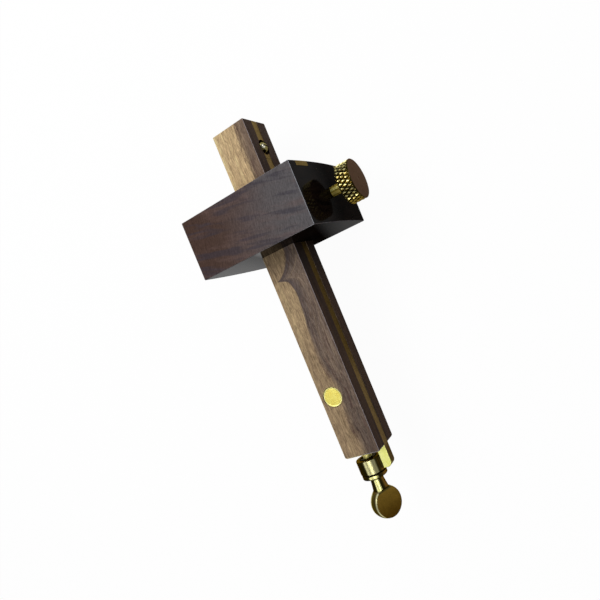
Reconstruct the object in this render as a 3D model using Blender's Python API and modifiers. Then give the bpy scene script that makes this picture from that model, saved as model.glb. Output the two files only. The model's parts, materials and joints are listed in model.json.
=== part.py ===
"""Screw slide mortise gauge, in metres, +Z up.

The stock lies on its back face. The stem runs through it along X, with its
spurs at the -X end and the thumb turn at the +X end. The clamping knob is on
the +Y end of the stock.
"""

import math

import bmesh
import bpy
from mathutils import Matrix

# Stock: a block with slightly arched ends, and the mortise the stem slides in
STOCK_THICKNESS = 0.0289
STOCK_LENGTH = 0.0635
STOCK_HEIGHT = 0.0573
STOCK_CROWN = 0.0015
STOCK_EDGE_RADIUS = 0.0004

# Brass strips let into the fence face
STRIP_WIDTH = 0.0095
STRIP_DEPTH = 0.0024
STRIP_OFFSET = 0.0140

# Stem
STEM_LENGTH = 0.1680
STEM_WIDTH = 0.0190
STEM_HEIGHT = 0.0196
STEM_NOSE = 0.0338
STEM_EDGE_RADIUS = 0.0004
STEM_TAIL_RADIUS = 0.0012

# Square brass bar that slides in the groove along the stem
BAR_WIDTH = 0.0048
BAR_DEPTH = 0.0048
BAR_INSET = 0.0002
BAR_EDGE_RADIUS = 0.0002
LUG_LENGTH = 0.0106
LUG_CORNER_RADIUS = 0.0028

# End plate in the pin end of the same groove, and the domed screw that holds it
END_PLATE_LENGTH = 0.0194
END_SCREW_STATION = 0.0140
END_SCREW_RADIUS = 0.0016
END_SCREW_LENGTH = 0.0090
END_SCREW_HEAD_RADIUS = 0.0034
END_SCREW_HEAD_HEIGHT = 0.0013
END_SCREW_RECESS_RADIUS = 0.0038
END_SCREW_RECESS_DEPTH = 0.0016
END_SCREW_SLOT_WIDTH = 0.0008
END_SCREW_SLOT_DEPTH = 0.0006
END_SCREW_SLOT_TURN = math.radians(-13)

# Marking spurs on the face opposite the knob
SPUR_RADIUS = 0.0009
SPUR_REACH = 0.0030
SPUR_POINT_LENGTH = 0.0022
FIXED_SPUR_STATION = 0.0050
FIXED_SPUR_DEPTH = 0.0080
SPUR_SPACING = 0.0035

# Carriage that takes the slide's movement through the stem to the moving spur
SLIDE_TRAVEL = 0.0160
FOOT_THICKNESS = 0.0024
FOOT_WIDTH = 0.0048
FOOT_INSET = 0.0002
FOOT_NOSE = 0.0018
POST_LENGTH = 0.0060
POST_WIDTH = 0.0036
POST_LEAD = 0.0140

# Adjusting screw, its cross dowel nut, and the boss on the slide's lug
ADJUST_OFFSET = -0.0028
ADJUST_RADIUS = 0.0024
ADJUST_REACH = 0.0570
ADJUST_CHAMFER = 0.0006
DOWEL_RADIUS = 0.0050
DOWEL_FROM_TAIL = 0.0311
DOWEL_INSET = 0.0001
DOWEL_CHAMFER = 0.0003
BOSS_RADIUS = 0.00655
BOSS_LENGTH = 0.0072
BOSS_STANDOFF = 0.0042
BOSS_CHAMFER = 0.0003
BOSS_COUNTERBORE_RADIUS = 0.0045
BOSS_COUNTERBORE_DEPTH = 0.0009
BOSS_NECK_ROOT_SHARE = 0.8

# Spring ring that keeps the adjusting screw in the boss
RING_RADIUS = 0.0041
RING_THICKNESS = 0.0008
RING_GROOVE_RADIUS = 0.0019
RING_MOUTH = 0.0028

# Thumb turn: flange, flared neck and a ball with two flats
TURN_CLEARANCE = 0.0006
TURN_FLANGE_RADIUS = 0.0064
TURN_FLANGE_THICKNESS = 0.0020
TURN_FLANGE_ROUNDING = 0.0004
TURN_NECK_RADIUS = 0.0034
TURN_NECK_FLARE_RADIUS = 0.0041
TURN_NECK_FILLET = 0.0014
TURN_BALL_RADIUS = 0.0080
TURN_BALL_STATION = 0.0166
TURN_FLAT_THICKNESS = 0.0052
TURN_FLAT_START = 0.0112
TURN_RUNOUT_RADIUS = 0.0026
TURN_SOCKET_DEPTH = 0.0060
TURN_ANGLE = math.radians(30)

# Pressure shoe between the lock screw and the stem
SHOE_LENGTH = 0.0220
SHOE_WIDTH = 0.0120
SHOE_THICKNESS = 0.0032
SHOE_EDGE_RADIUS = 0.0004
SHOE_SOCKET_DEPTH = 0.0016
SHOE_LIFT = 0.0024

# Lock screw, its threaded bush and the knurled knob
LOCK_RADIUS = 0.0024
LOCK_SPIGOT_RADIUS = 0.0016
LOCK_CHAMFER = 0.0003
BUSH_RADIUS = 0.0040
BUSH_LENGTH = 0.0100
BUSH_CHAMFER = 0.0004
KNOB_RADIUS = 0.00952
KNOB_HEIGHT = 0.0070
KNOB_STANDOFF = 0.0069
KNOB_SOCKET_DEPTH = 0.0050
KNOB_CHAMFER = 0.0004
KNOB_RIM = 0.0007
KNURL_DEPTH = 0.00045
KNURL_DIAMONDS = 30
KNURL_ROWS = 4

# Clearances
SLIDING_GAP = 0.0003
SEAT_GAP = 0.0003
FIT_GAP = 0.00015
INLAY_GAP = 0.00015
RUNNING_GAP = 0.00025
OVERRUN = 0.0020
WELD_DISTANCE = 0.000001

# Facets
ARCH_STEPS = 10
CORNER_STEPS = 5
ROUND_STEPS = 40
SMALL_STEPS = 24
BALL_STEPS = 10
SMOOTH_ANGLE = math.radians(32)
FLAT_ANGLE = math.radians(0.2)

# Places worked out from the sizes above
STEM_AXIS_Z = STOCK_HEIGHT / 2
STEM_START_X = -STOCK_THICKNESS / 2 - STEM_NOSE
BAR_TOP = STEM_WIDTH / 2 - BAR_INSET
BAR_FLOOR = BAR_TOP - BAR_DEPTH
BAR_START = END_PLATE_LENGTH + SEAT_GAP
BAR_END = STEM_LENGTH + LUG_LENGTH
RECESS_FLOOR = STEM_WIDTH / 2 - END_SCREW_RECESS_DEPTH
MOVING_SPUR_STATION = FIXED_SPUR_STATION + SPUR_SPACING
FOOT_BOTTOM = FOOT_INSET - STEM_WIDTH / 2
FOOT_TOP = FOOT_BOTTOM + FOOT_THICKNESS
FOOT_START = MOVING_SPUR_STATION - FOOT_NOSE
POST_START = MOVING_SPUR_STATION + POST_LEAD
POST_END = POST_START + POST_LENGTH
BOSS_START = STEM_LENGTH + BOSS_STANDOFF
BOSS_END = BOSS_START + BOSS_LENGTH
RING_START = BOSS_COUNTERBORE_DEPTH - SEAT_GAP - RING_THICKNESS - BOSS_LENGTH
SHOE_BOTTOM = STEM_WIDTH / 2 + SEAT_GAP
SHOE_TOP = SHOE_BOTTOM + SHOE_THICKNESS
POCKET_TOP = SHOE_TOP + SHOE_LIFT + SEAT_GAP
BUSH_START = POCKET_TOP + SEAT_GAP
BUSH_END = BUSH_START + BUSH_LENGTH
STOCK_END = STOCK_LENGTH / 2 + STOCK_CROWN
KNOB_START = STOCK_END + KNOB_STANDOFF
KNOB_END = KNOB_START + KNOB_HEIGHT

# Rotations that lay a piece turned about Z along another axis
ALONG_X = (0, math.pi / 2, 0)
ALONG_Y = (-math.pi / 2, 0, 0)
ALONG_Z = (0, 0, 0)

# Colour, roughness and metallic value of each finish
ROSEWOOD = ((0.080, 0.048, 0.038, 1), 0.35, 0)
STEM_WOOD = ((0.230, 0.150, 0.090, 1), 0.40, 0)
BRASS = ((0.720, 0.560, 0.220, 1), 0.28, 1)
STEEL = ((0.420, 0.420, 0.430, 1), 0.32, 1)


def clear_scene():
    for item in list(bpy.data.objects):
        bpy.data.objects.remove(item, do_unlink=True)


def new_collection(name):
    collection = bpy.data.collections.new(name)
    bpy.context.scene.collection.children.link(collection)
    return collection


clear_scene()
PARTS = new_collection("mortise_gauge")
CUTTERS = new_collection("cutters")


def make_material(name, finish):
    colour, roughness, metallic = finish
    material = bpy.data.materials.new(name)
    material.use_nodes = True
    shader = material.node_tree.nodes["Principled BSDF"]
    shader.inputs["Base Color"].default_value = colour
    shader.inputs["Roughness"].default_value = roughness
    shader.inputs["Metallic"].default_value = metallic
    material.diffuse_color = colour
    return material


def place(name, mesh, parent, location=(0, 0, 0), rotation=ALONG_Z, collection=PARTS):
    piece = bpy.data.objects.new(name, mesh)
    piece.parent = parent
    piece.location = location
    piece.rotation_euler = rotation
    collection.objects.link(piece)
    return piece


def finish_piece(piece, finish):
    piece.data.materials.clear()
    piece.data.materials.append(make_material(piece.name, finish))
    piece.data.shade_smooth()
    piece.data.set_sharp_from_angle(angle=SMOOTH_ANGLE)
    return piece


def frame(name, parent, location):
    empty = place(name, None, parent, location)
    empty.empty_display_size = STEM_WIDTH
    return empty


# Shapes

def to_mesh(bm, name):
    mesh = bpy.data.meshes.new(name)
    bm.to_mesh(mesh)
    bm.free()
    return mesh


def span_box(name, x_span, y_span, z_span):
    """A box from its two limits along each axis."""
    spans = (x_span, y_span, z_span)
    sizes = [high - low for low, high in spans]
    middles = [(high + low) / 2 for low, high in spans]
    bm = bmesh.new()
    bmesh.ops.create_cube(bm, size=1)
    bm.transform(Matrix.Translation(middles) @ Matrix.Diagonal(sizes).to_4x4())
    return to_mesh(bm, name)


def centred(width, gap=0):
    return (-width / 2 - gap, width / 2 + gap)


def rod(name, radius, start, end, steps=SMALL_STEPS):
    """A plain cylinder about Z from start to end."""
    bm = bmesh.new()
    bmesh.ops.create_cone(bm, cap_ends=True, segments=steps, radius1=radius, radius2=radius, depth=end - start)
    bm.transform(Matrix.Translation((0, 0, (start + end) / 2)))
    return to_mesh(bm, name)


def evaluated_copy(name, source):
    """The mesh an object shows with its modifiers, welded, with the object removed."""
    graph = bpy.context.evaluated_depsgraph_get()
    mesh = bpy.data.meshes.new_from_object(source.evaluated_get(graph))
    bpy.data.objects.remove(source, do_unlink=True)
    mesh.name = name
    bm = bmesh.new()
    bm.from_mesh(mesh)
    bmesh.ops.remove_doubles(bm, verts=bm.verts, dist=WELD_DISTANCE)
    bmesh.ops.dissolve_limit(bm, angle_limit=FLAT_ANGLE, verts=bm.verts, edges=bm.edges)
    bmesh.ops.recalc_face_normals(bm, faces=bm.faces)
    bm.to_mesh(mesh)
    bm.free()
    return mesh


def turned(name, profile, steps=ROUND_STEPS, closed=False):
    """A turned shape from (radius, height) points, running down its outer side."""
    bm = bmesh.new()
    points = [bm.verts.new((radius, 0, height)) for radius, height in profile]
    for first, second in zip(points, points[1:]):
        bm.edges.new((first, second))
    if closed:
        bm.edges.new((points[-1], points[0]))
    blank = place(name, to_mesh(bm, name), None, collection=CUTTERS)
    lathe = blank.modifiers.new("lathe", "SCREW")
    lathe.steps = steps
    lathe.render_steps = steps
    lathe.use_merge_vertices = True
    lathe.merge_threshold = WELD_DISTANCE
    return evaluated_copy(name, blank)


def outlined(name, points, thickness):
    """A flat outline in XY, extruded to a thickness centred on Z = 0."""
    curve = bpy.data.curves.new(name, "CURVE")
    curve.dimensions = "2D"
    curve.fill_mode = "BOTH"
    curve.extrude = thickness / 2
    spline = curve.splines.new("POLY")
    spline.points.add(len(points) - 1)
    for point, (x, y) in zip(spline.points, points):
        point.co = (x, y, 0, 1)
    spline.use_cyclic_u = True
    return evaluated_copy(name, place(name, curve, None, collection=CUTTERS))


def arc(centre, radius, start, end, steps):
    """Points on an arc from one angle to another, in degrees."""
    angles = [math.radians(start + (end - start) * step / steps) for step in range(steps + 1)]
    return [(centre[0] + radius * math.cos(angle), centre[1] + radius * math.sin(angle)) for angle in angles]


def obround(start, end, width):
    """Outline of a slot with round ends, along X from start to end."""
    radius = width / 2
    return (arc((end - radius, 0), radius, -90, 90, CORNER_STEPS * 2)
            + arc((start + radius, 0), radius, 90, 270, CORNER_STEPS * 2))


# Modifiers

def bevel(piece, width, segments=2):
    rounding = piece.modifiers.new("bevel", "BEVEL")
    rounding.width = width
    rounding.segments = segments
    rounding.limit_method = "ANGLE"
    rounding.angle_limit = SMOOTH_ANGLE
    return rounding


def combine(piece, tool, operation="DIFFERENCE"):
    """Cuts, joins or trims a piece with a tool that stays out of the render."""
    tool.hide_render = True
    tool.display_type = "WIRE"
    step = piece.modifiers.new(tool.name, "BOOLEAN")
    step.operation = operation
    step.object = tool
    step.solver = "EXACT"


def cutter(name, mesh, parent, location=(0, 0, 0), rotation=ALONG_Z):
    return place(name + "_cutter", mesh, parent, location, rotation, CUTTERS)


# Stock and what is fixed to it

def stock_outline():
    """Side view of the stock in Y and Z: flat front and back, arched ends."""
    half_height = STOCK_HEIGHT / 2
    radius = (half_height ** 2 + STOCK_CROWN ** 2) / (2 * STOCK_CROWN)
    swing = math.degrees(math.asin(half_height / radius))
    centre = STOCK_END - radius
    return (arc((centre, 0), radius, -swing, swing, ARCH_STEPS)
            + arc((-centre, 0), radius, 180 - swing, 180 + swing, ARCH_STEPS))


def stock_blank(name, finish):
    """The stock's outer form, with its outline stood up in the YZ plane."""
    mesh = outlined(name, stock_outline(), STOCK_THICKNESS)
    mesh.transform(Matrix(((0, 0, 1, 0), (1, 0, 0, 0), (0, 1, 0, 0), (0, 0, 0, 1))))
    blank = place(name, mesh, None, (0, 0, STEM_AXIS_Z))
    bevel(blank, STOCK_EDGE_RADIUS)
    return finish_piece(blank, finish)


def strip_span(side, gap=0):
    """Height limits of a fence strip above (side 1) or below (side -1) the stem."""
    low = side * (STRIP_OFFSET - gap)
    high = side * (STRIP_OFFSET + STRIP_WIDTH + gap)
    return (min(low, high), max(low, high))


def strip_box(name, side, gap=0):
    x_span = (-STOCK_THICKNESS / 2 - OVERRUN, -STOCK_THICKNESS / 2 + STRIP_DEPTH + gap)
    return span_box(name, x_span, centred(STOCK_LENGTH, STOCK_CROWN + OVERRUN), strip_span(side, gap))


def make_stock():
    stock = stock_blank("stock", ROSEWOOD)
    at = (0, 0, STEM_AXIS_Z)
    mortise = span_box("mortise", centred(STOCK_THICKNESS, OVERRUN),
                       centred(STEM_WIDTH, SLIDING_GAP), centred(STEM_HEIGHT, SLIDING_GAP))
    combine(stock, cutter("mortise", mortise, None, at))
    pocket = span_box("shoe_pocket", centred(SHOE_LENGTH, SEAT_GAP), (0, POCKET_TOP),
                      centred(SHOE_WIDTH, SEAT_GAP))
    combine(stock, cutter("shoe_pocket", pocket, None, at))
    bush_hole = rod("bush_hole", BUSH_RADIUS + FIT_GAP, POCKET_TOP - OVERRUN, BUSH_END + SEAT_GAP)
    combine(stock, cutter("bush_hole", bush_hole, None, at, ALONG_Y))
    screw_hole = rod("lock_screw_hole", LOCK_RADIUS + SLIDING_GAP, BUSH_START, STOCK_END + OVERRUN)
    combine(stock, cutter("lock_screw_hole", screw_hole, None, at, ALONG_Y))
    for side, word in ((1, "upper"), (-1, "lower")):
        groove = strip_box(word + "_strip_groove", side, INLAY_GAP)
        combine(stock, cutter(word + "_strip_groove", groove, None, at))
        strip = stock_blank("wear_strip_" + word, BRASS)
        combine(strip, cutter(word + "_strip", strip_box(word + "_strip", side), None, at), "INTERSECT")


def make_bush():
    outer, inner = BUSH_RADIUS, LOCK_RADIUS + FIT_GAP
    profile = [(inner, BUSH_END), (outer - BUSH_CHAMFER, BUSH_END), (outer, BUSH_END - BUSH_CHAMFER),
               (outer, BUSH_START + BUSH_CHAMFER), (outer - BUSH_CHAMFER, BUSH_START), (inner, BUSH_START)]
    mesh = turned("lock_bush", profile, SMALL_STEPS, closed=True)
    finish_piece(place("lock_bush", mesh, None, (0, 0, STEM_AXIS_Z), ALONG_Y), BRASS)


# Clamp: shoe, screw and knob

def make_shoe(shoe_frame):
    mesh = span_box("pressure_shoe", centred(SHOE_LENGTH), (SHOE_BOTTOM, SHOE_TOP), centred(SHOE_WIDTH))
    shoe = finish_piece(place("pressure_shoe", mesh, shoe_frame), BRASS)
    bevel(shoe, SHOE_EDGE_RADIUS)
    socket = rod("shoe_socket", LOCK_SPIGOT_RADIUS + FIT_GAP, SHOE_TOP - SHOE_SOCKET_DEPTH, SHOE_TOP + OVERRUN)
    combine(shoe, cutter("shoe_socket", socket, shoe_frame, rotation=ALONG_Y))


def make_lock_screw(lock_frame):
    top = KNOB_START + KNOB_SOCKET_DEPTH - SEAT_GAP
    shoulder = SHOE_TOP + SEAT_GAP
    tip = SHOE_TOP - SHOE_SOCKET_DEPTH + SEAT_GAP
    profile = [(0, top), (LOCK_RADIUS - LOCK_CHAMFER, top), (LOCK_RADIUS, top - LOCK_CHAMFER),
               (LOCK_RADIUS, shoulder + LOCK_CHAMFER), (LOCK_RADIUS - LOCK_CHAMFER, shoulder),
               (LOCK_SPIGOT_RADIUS, shoulder), (LOCK_SPIGOT_RADIUS, tip), (0, tip)]
    mesh = turned("lock_screw", profile, SMALL_STEPS)
    finish_piece(place("lock_screw", mesh, lock_frame, rotation=ALONG_Y), BRASS)


def knob_rings():
    """Heights of the knob's rings with the radii of their even and odd points.

    On the knurled rings every other point stands proud, and the rings take
    turns, so the points between them lie on two crossing sets of grooves.
    """
    proud, sunk = KNOB_RADIUS, KNOB_RADIUS - KNURL_DEPTH
    band_start = KNOB_START + KNOB_CHAMFER
    band_end = KNOB_END - KNOB_CHAMFER - KNOB_RIM
    rings = [(KNOB_START, sunk - KNOB_CHAMFER, sunk - KNOB_CHAMFER)]
    for row in range(KNURL_ROWS):
        height = band_start + (band_end - band_start) * row / (KNURL_ROWS - 1)
        rings.append((height, proud, sunk) if row % 2 else (height, sunk, proud))
    rings.append((band_end + KNURL_DEPTH, sunk, sunk))
    rings.append((band_end + KNURL_DEPTH * 2, proud, proud))
    rings.append((KNOB_END - KNOB_CHAMFER, proud, proud))
    rings.append((KNOB_END, proud - KNOB_CHAMFER, proud - KNOB_CHAMFER))
    return rings


def knurled_mesh(name):
    count = KNURL_DIAMONDS * 2
    bm = bmesh.new()
    loops = []
    for height, even, odd in knob_rings():
        radii = (even, odd)
        angles = [math.tau * step / count for step in range(count)]
        loops.append([bm.verts.new((radii[step % 2] * math.cos(angle), radii[step % 2] * math.sin(angle), height))
                      for step, angle in enumerate(angles)])
    for row, (lower, upper) in enumerate(zip(loops, loops[1:])):
        for step in range(count):
            after = (step + 1) % count
            corners = [lower[step], lower[after], upper[after], upper[step]]
            first = (step + row + 1) % 2
            corners = corners[first:] + corners[:first]
            bm.faces.new((corners[0], corners[1], corners[2]))
            bm.faces.new((corners[0], corners[2], corners[3]))
    bm.faces.new(loops[-1])
    bm.faces.new(reversed(loops[0]))
    return to_mesh(bm, name)


def make_knob(lock_frame):
    knob = finish_piece(place("lock_knob", knurled_mesh("lock_knob"), lock_frame, rotation=ALONG_Y), BRASS)
    socket = rod("knob_socket", LOCK_RADIUS + FIT_GAP, KNOB_START - OVERRUN, KNOB_START + KNOB_SOCKET_DEPTH)
    combine(knob, cutter("knob_socket", socket, lock_frame, rotation=ALONG_Y))


# Stem and what is fixed to it

def weigh_tail_edges(mesh):
    """The edges of the tail end are rounded more than the rest."""
    bm = bmesh.new()
    bm.from_mesh(mesh)
    weight = bm.edges.layers.float.new("bevel_weight_edge")
    for edge in bm.edges:
        at_tail = all(vert.co.x > STEM_LENGTH / 2 for vert in edge.verts)
        edge[weight] = 1 if at_tail else STEM_EDGE_RADIUS / STEM_TAIL_RADIUS
    bm.to_mesh(mesh)
    bm.free()


def recess_cutter(stem_frame):
    recess = rod("screw_recess", END_SCREW_RECESS_RADIUS, RECESS_FLOOR, STEM_WIDTH / 2 + OVERRUN, ROUND_STEPS)
    return cutter("screw_recess", recess, stem_frame, (END_SCREW_STATION, 0, 0), ALONG_Y)


def screw_hole_cutter(stem_frame, name, floor):
    hole = rod(name, END_SCREW_RADIUS + FIT_GAP, floor, RECESS_FLOOR + OVERRUN)
    return cutter(name, hole, stem_frame, (END_SCREW_STATION, 0, 0), ALONG_Y)


def make_stem(stem_frame):
    mesh = span_box("stem", (0, STEM_LENGTH), centred(STEM_WIDTH), centred(STEM_HEIGHT))
    weigh_tail_edges(mesh)
    stem = finish_piece(place("stem", mesh, stem_frame), STEM_WOOD)
    bevel(stem, STEM_TAIL_RADIUS).limit_method = "WEIGHT"

    groove = span_box("bar_groove", (-OVERRUN, STEM_LENGTH + OVERRUN),
                      (BAR_FLOOR - INLAY_GAP, STEM_WIDTH / 2 + OVERRUN), centred(BAR_WIDTH, INLAY_GAP))
    combine(stem, cutter("bar_groove", groove, stem_frame))
    combine(stem, recess_cutter(stem_frame))
    screw_floor = RECESS_FLOOR - END_SCREW_LENGTH
    combine(stem, screw_hole_cutter(stem_frame, "end_screw_hole", screw_floor))

    foot_groove = span_box("foot_groove", (FOOT_START - SEAT_GAP, POST_END + SLIDE_TRAVEL + SEAT_GAP),
                           (-STEM_WIDTH / 2 - OVERRUN, FOOT_TOP + INLAY_GAP), centred(FOOT_WIDTH, INLAY_GAP))
    combine(stem, cutter("foot_groove", foot_groove, stem_frame))
    slot = outlined("post_slot", obround(POST_START - SEAT_GAP, POST_END + SLIDE_TRAVEL + SEAT_GAP,
                                         POST_WIDTH + 2 * INLAY_GAP), STEM_WIDTH)
    combine(stem, cutter("post_slot", slot, stem_frame, rotation=ALONG_Y))

    spur_hole = rod("fixed_spur_hole", SPUR_RADIUS + FIT_GAP, -STEM_WIDTH / 2 - OVERRUN,
                    -STEM_WIDTH / 2 + FIXED_SPUR_DEPTH + SEAT_GAP)
    combine(stem, cutter("fixed_spur_hole", spur_hole, stem_frame, (FIXED_SPUR_STATION, 0, 0), ALONG_Y))
    bore = rod("adjusting_bore", ADJUST_RADIUS + RUNNING_GAP, STEM_LENGTH - ADJUST_REACH - SEAT_GAP,
               STEM_LENGTH + OVERRUN)
    combine(stem, cutter("adjusting_bore", bore, stem_frame, (0, ADJUST_OFFSET, 0), ALONG_X))
    dowel_hole = rod("dowel_hole", DOWEL_RADIUS + FIT_GAP, -STEM_HEIGHT / 2 - OVERRUN,
                     STEM_HEIGHT / 2 + OVERRUN, ROUND_STEPS)
    combine(stem, cutter("dowel_hole", dowel_hole, stem_frame, (STEM_LENGTH - DOWEL_FROM_TAIL, ADJUST_OFFSET, 0)))


def make_end_plate(stem_frame):
    mesh = span_box("end_plate", (0, END_PLATE_LENGTH), (BAR_FLOOR, BAR_TOP), centred(BAR_WIDTH))
    plate = finish_piece(place("end_plate", mesh, stem_frame), BRASS)
    bevel(plate, BAR_EDGE_RADIUS)
    combine(plate, recess_cutter(stem_frame))
    combine(plate, screw_hole_cutter(stem_frame, "end_plate_hole", BAR_FLOOR - OVERRUN))


def make_end_screw(stem_frame):
    """A domed screw with a slot across its head, sunk in its recess."""
    seat = RECESS_FLOOR + SEAT_GAP
    height, reach = END_SCREW_HEAD_HEIGHT, END_SCREW_HEAD_RADIUS
    dome_radius = (height ** 2 + reach ** 2) / (2 * height)
    swing = math.degrees(math.asin(reach / dome_radius))
    dome = arc((0, seat + height - dome_radius), dome_radius, 90, 90 - swing, BALL_STEPS)
    tip = RECESS_FLOOR - END_SCREW_LENGTH + SEAT_GAP
    shank = [(END_SCREW_RADIUS, seat), (END_SCREW_RADIUS, tip + END_SCREW_RADIUS), (0, tip)]
    mesh = turned("end_plate_screw", [(0, seat + height)] + dome[1:] + shank, SMALL_STEPS)
    screw = place("end_plate_screw", mesh, stem_frame, (END_SCREW_STATION, 0, 0), ALONG_Y)
    finish_piece(screw, BRASS)
    slot = span_box("head_slot", centred(END_SCREW_HEAD_RADIUS * 2, OVERRUN), centred(END_SCREW_SLOT_WIDTH),
                    (seat + height - END_SCREW_SLOT_DEPTH, seat + height + OVERRUN))
    slot.transform(Matrix.Rotation(END_SCREW_SLOT_TURN, 4, "Z"))
    combine(screw, cutter("head_slot", slot, stem_frame, (END_SCREW_STATION, 0, 0), ALONG_Y))


def spur_mesh(name, top):
    """A steel pin with a long point, from its top down to the tip."""
    tip = -STEM_WIDTH / 2 - SPUR_REACH
    return turned(name, [(0, top), (SPUR_RADIUS, top), (SPUR_RADIUS, tip + SPUR_POINT_LENGTH), (0, tip)],
                  SMALL_STEPS)


def make_fixed_spur(stem_frame):
    mesh = spur_mesh("fixed_spur", -STEM_WIDTH / 2 + FIXED_SPUR_DEPTH)
    finish_piece(place("fixed_spur", mesh, stem_frame, (FIXED_SPUR_STATION, 0, 0), ALONG_Y), STEEL)


def make_dowel_nut(stem_frame):
    half = STEM_HEIGHT / 2 - DOWEL_INSET
    edge = DOWEL_RADIUS - DOWEL_CHAMFER
    profile = [(0, half), (edge, half), (DOWEL_RADIUS, half - DOWEL_CHAMFER),
               (DOWEL_RADIUS, DOWEL_CHAMFER - half), (edge, -half), (0, -half)]
    at = (STEM_LENGTH - DOWEL_FROM_TAIL, ADJUST_OFFSET, 0)
    nut = finish_piece(place("dowel_nut", turned("dowel_nut", profile), stem_frame, at), BRASS)
    thread = rod("dowel_thread", ADJUST_RADIUS + FIT_GAP, -DOWEL_RADIUS - OVERRUN, DOWEL_RADIUS + OVERRUN)
    combine(nut, cutter("dowel_thread", thread, stem_frame, at, ALONG_X))


# Slide and what it carries

def make_slide_bar(slide_frame):
    corner = arc((BAR_END - LUG_CORNER_RADIUS, BAR_TOP - LUG_CORNER_RADIUS), LUG_CORNER_RADIUS, 0, 90, CORNER_STEPS)
    outline = [(BAR_START, BAR_FLOOR), (BAR_END, BAR_FLOOR)] + corner + [(BAR_START, BAR_TOP)]
    bar = finish_piece(place("slide_bar", outlined("slide_bar", outline, BAR_WIDTH), slide_frame), BRASS)
    bevel(bar, BAR_EDGE_RADIUS)


def make_carriage(slide_frame):
    mesh = span_box("spur_carriage", (FOOT_START, POST_END), (FOOT_BOTTOM, FOOT_TOP), centred(FOOT_WIDTH))
    carriage = finish_piece(place("spur_carriage", mesh, slide_frame), BRASS)
    bevel(carriage, BAR_EDGE_RADIUS)
    top = BAR_FLOOR - SEAT_GAP
    root = (FOOT_BOTTOM + FOOT_TOP) / 2
    post = outlined("carriage_post", obround(POST_START, POST_END - BAR_EDGE_RADIUS * 2, POST_WIDTH), top - root)
    post_tool = cutter("carriage_post", post, slide_frame, (0, (top + root) / 2, 0), ALONG_Y)
    combine(carriage, post_tool, "UNION")
    hole = rod("moving_spur_hole", SPUR_RADIUS + FIT_GAP, FOOT_BOTTOM - OVERRUN, FOOT_TOP + OVERRUN)
    combine(carriage, cutter("moving_spur_hole", hole, slide_frame, (MOVING_SPUR_STATION, 0, 0), ALONG_Y))


def make_moving_spur(slide_frame):
    mesh = spur_mesh("moving_spur", FOOT_TOP)
    finish_piece(place("moving_spur", mesh, slide_frame, (MOVING_SPUR_STATION, 0, 0), ALONG_Y), STEEL)


def make_boss(slide_frame):
    """Bored boss with a recess for the spring ring and a neck up to the lug."""
    bore = ADJUST_RADIUS + RUNNING_GAP
    inside = BOSS_START + BOSS_COUNTERBORE_DEPTH
    edge = BOSS_RADIUS - BOSS_CHAMFER
    profile = [(bore, BOSS_END), (edge, BOSS_END), (BOSS_RADIUS, BOSS_END - BOSS_CHAMFER),
               (BOSS_RADIUS, BOSS_START + BOSS_CHAMFER), (edge, BOSS_START),
               (BOSS_COUNTERBORE_RADIUS, BOSS_START), (BOSS_COUNTERBORE_RADIUS, inside), (bore, inside)]
    mesh = turned("slide_boss", profile, closed=True)
    boss = finish_piece(place("slide_boss", mesh, slide_frame, (0, ADJUST_OFFSET, 0), ALONG_X), BRASS)
    neck = span_box("boss_neck", (BOSS_START + BOSS_CHAMFER, BAR_END - BOSS_CHAMFER),
                    (BOSS_RADIUS * BOSS_NECK_ROOT_SHARE, BAR_FLOOR - SEAT_GAP - ADJUST_OFFSET), centred(BAR_WIDTH))
    combine(boss, cutter("boss_neck", neck, slide_frame, (0, ADJUST_OFFSET, 0)), "UNION")


# Thumb turn, its screw and the ring that keeps them in the boss

def make_adjusting_screw(turn_frame):
    end = TURN_SOCKET_DEPTH - SEAT_GAP
    tip = STEM_LENGTH - ADJUST_REACH - BOSS_END
    groove_start = RING_START - SEAT_GAP
    groove_end = RING_START + RING_THICKNESS + SEAT_GAP
    edge = ADJUST_RADIUS - ADJUST_CHAMFER
    profile = [(0, end), (edge, end), (ADJUST_RADIUS, end - ADJUST_CHAMFER),
               (ADJUST_RADIUS, groove_end), (RING_GROOVE_RADIUS, groove_end),
               (RING_GROOVE_RADIUS, groove_start), (ADJUST_RADIUS, groove_start),
               (ADJUST_RADIUS, tip + ADJUST_CHAMFER), (edge, tip), (0, tip)]
    mesh = turned("adjusting_screw", profile, SMALL_STEPS)
    finish_piece(place("adjusting_screw", mesh, turn_frame, rotation=ALONG_X), BRASS)


def make_retaining_ring(turn_frame):
    inner = RING_GROOVE_RADIUS + FIT_GAP
    end = RING_START + RING_THICKNESS
    profile = [(inner, end), (RING_RADIUS, end), (RING_RADIUS, RING_START), (inner, RING_START)]
    mesh = turned("retaining_ring", profile, closed=True)
    ring = finish_piece(place("retaining_ring", mesh, turn_frame, rotation=ALONG_X), STEEL)
    mouth = span_box("ring_mouth", (RING_START - OVERRUN, end + OVERRUN), (-RING_RADIUS - OVERRUN, 0),
                     centred(RING_MOUTH))
    combine(ring, cutter("ring_mouth", mouth, turn_frame))


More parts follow.
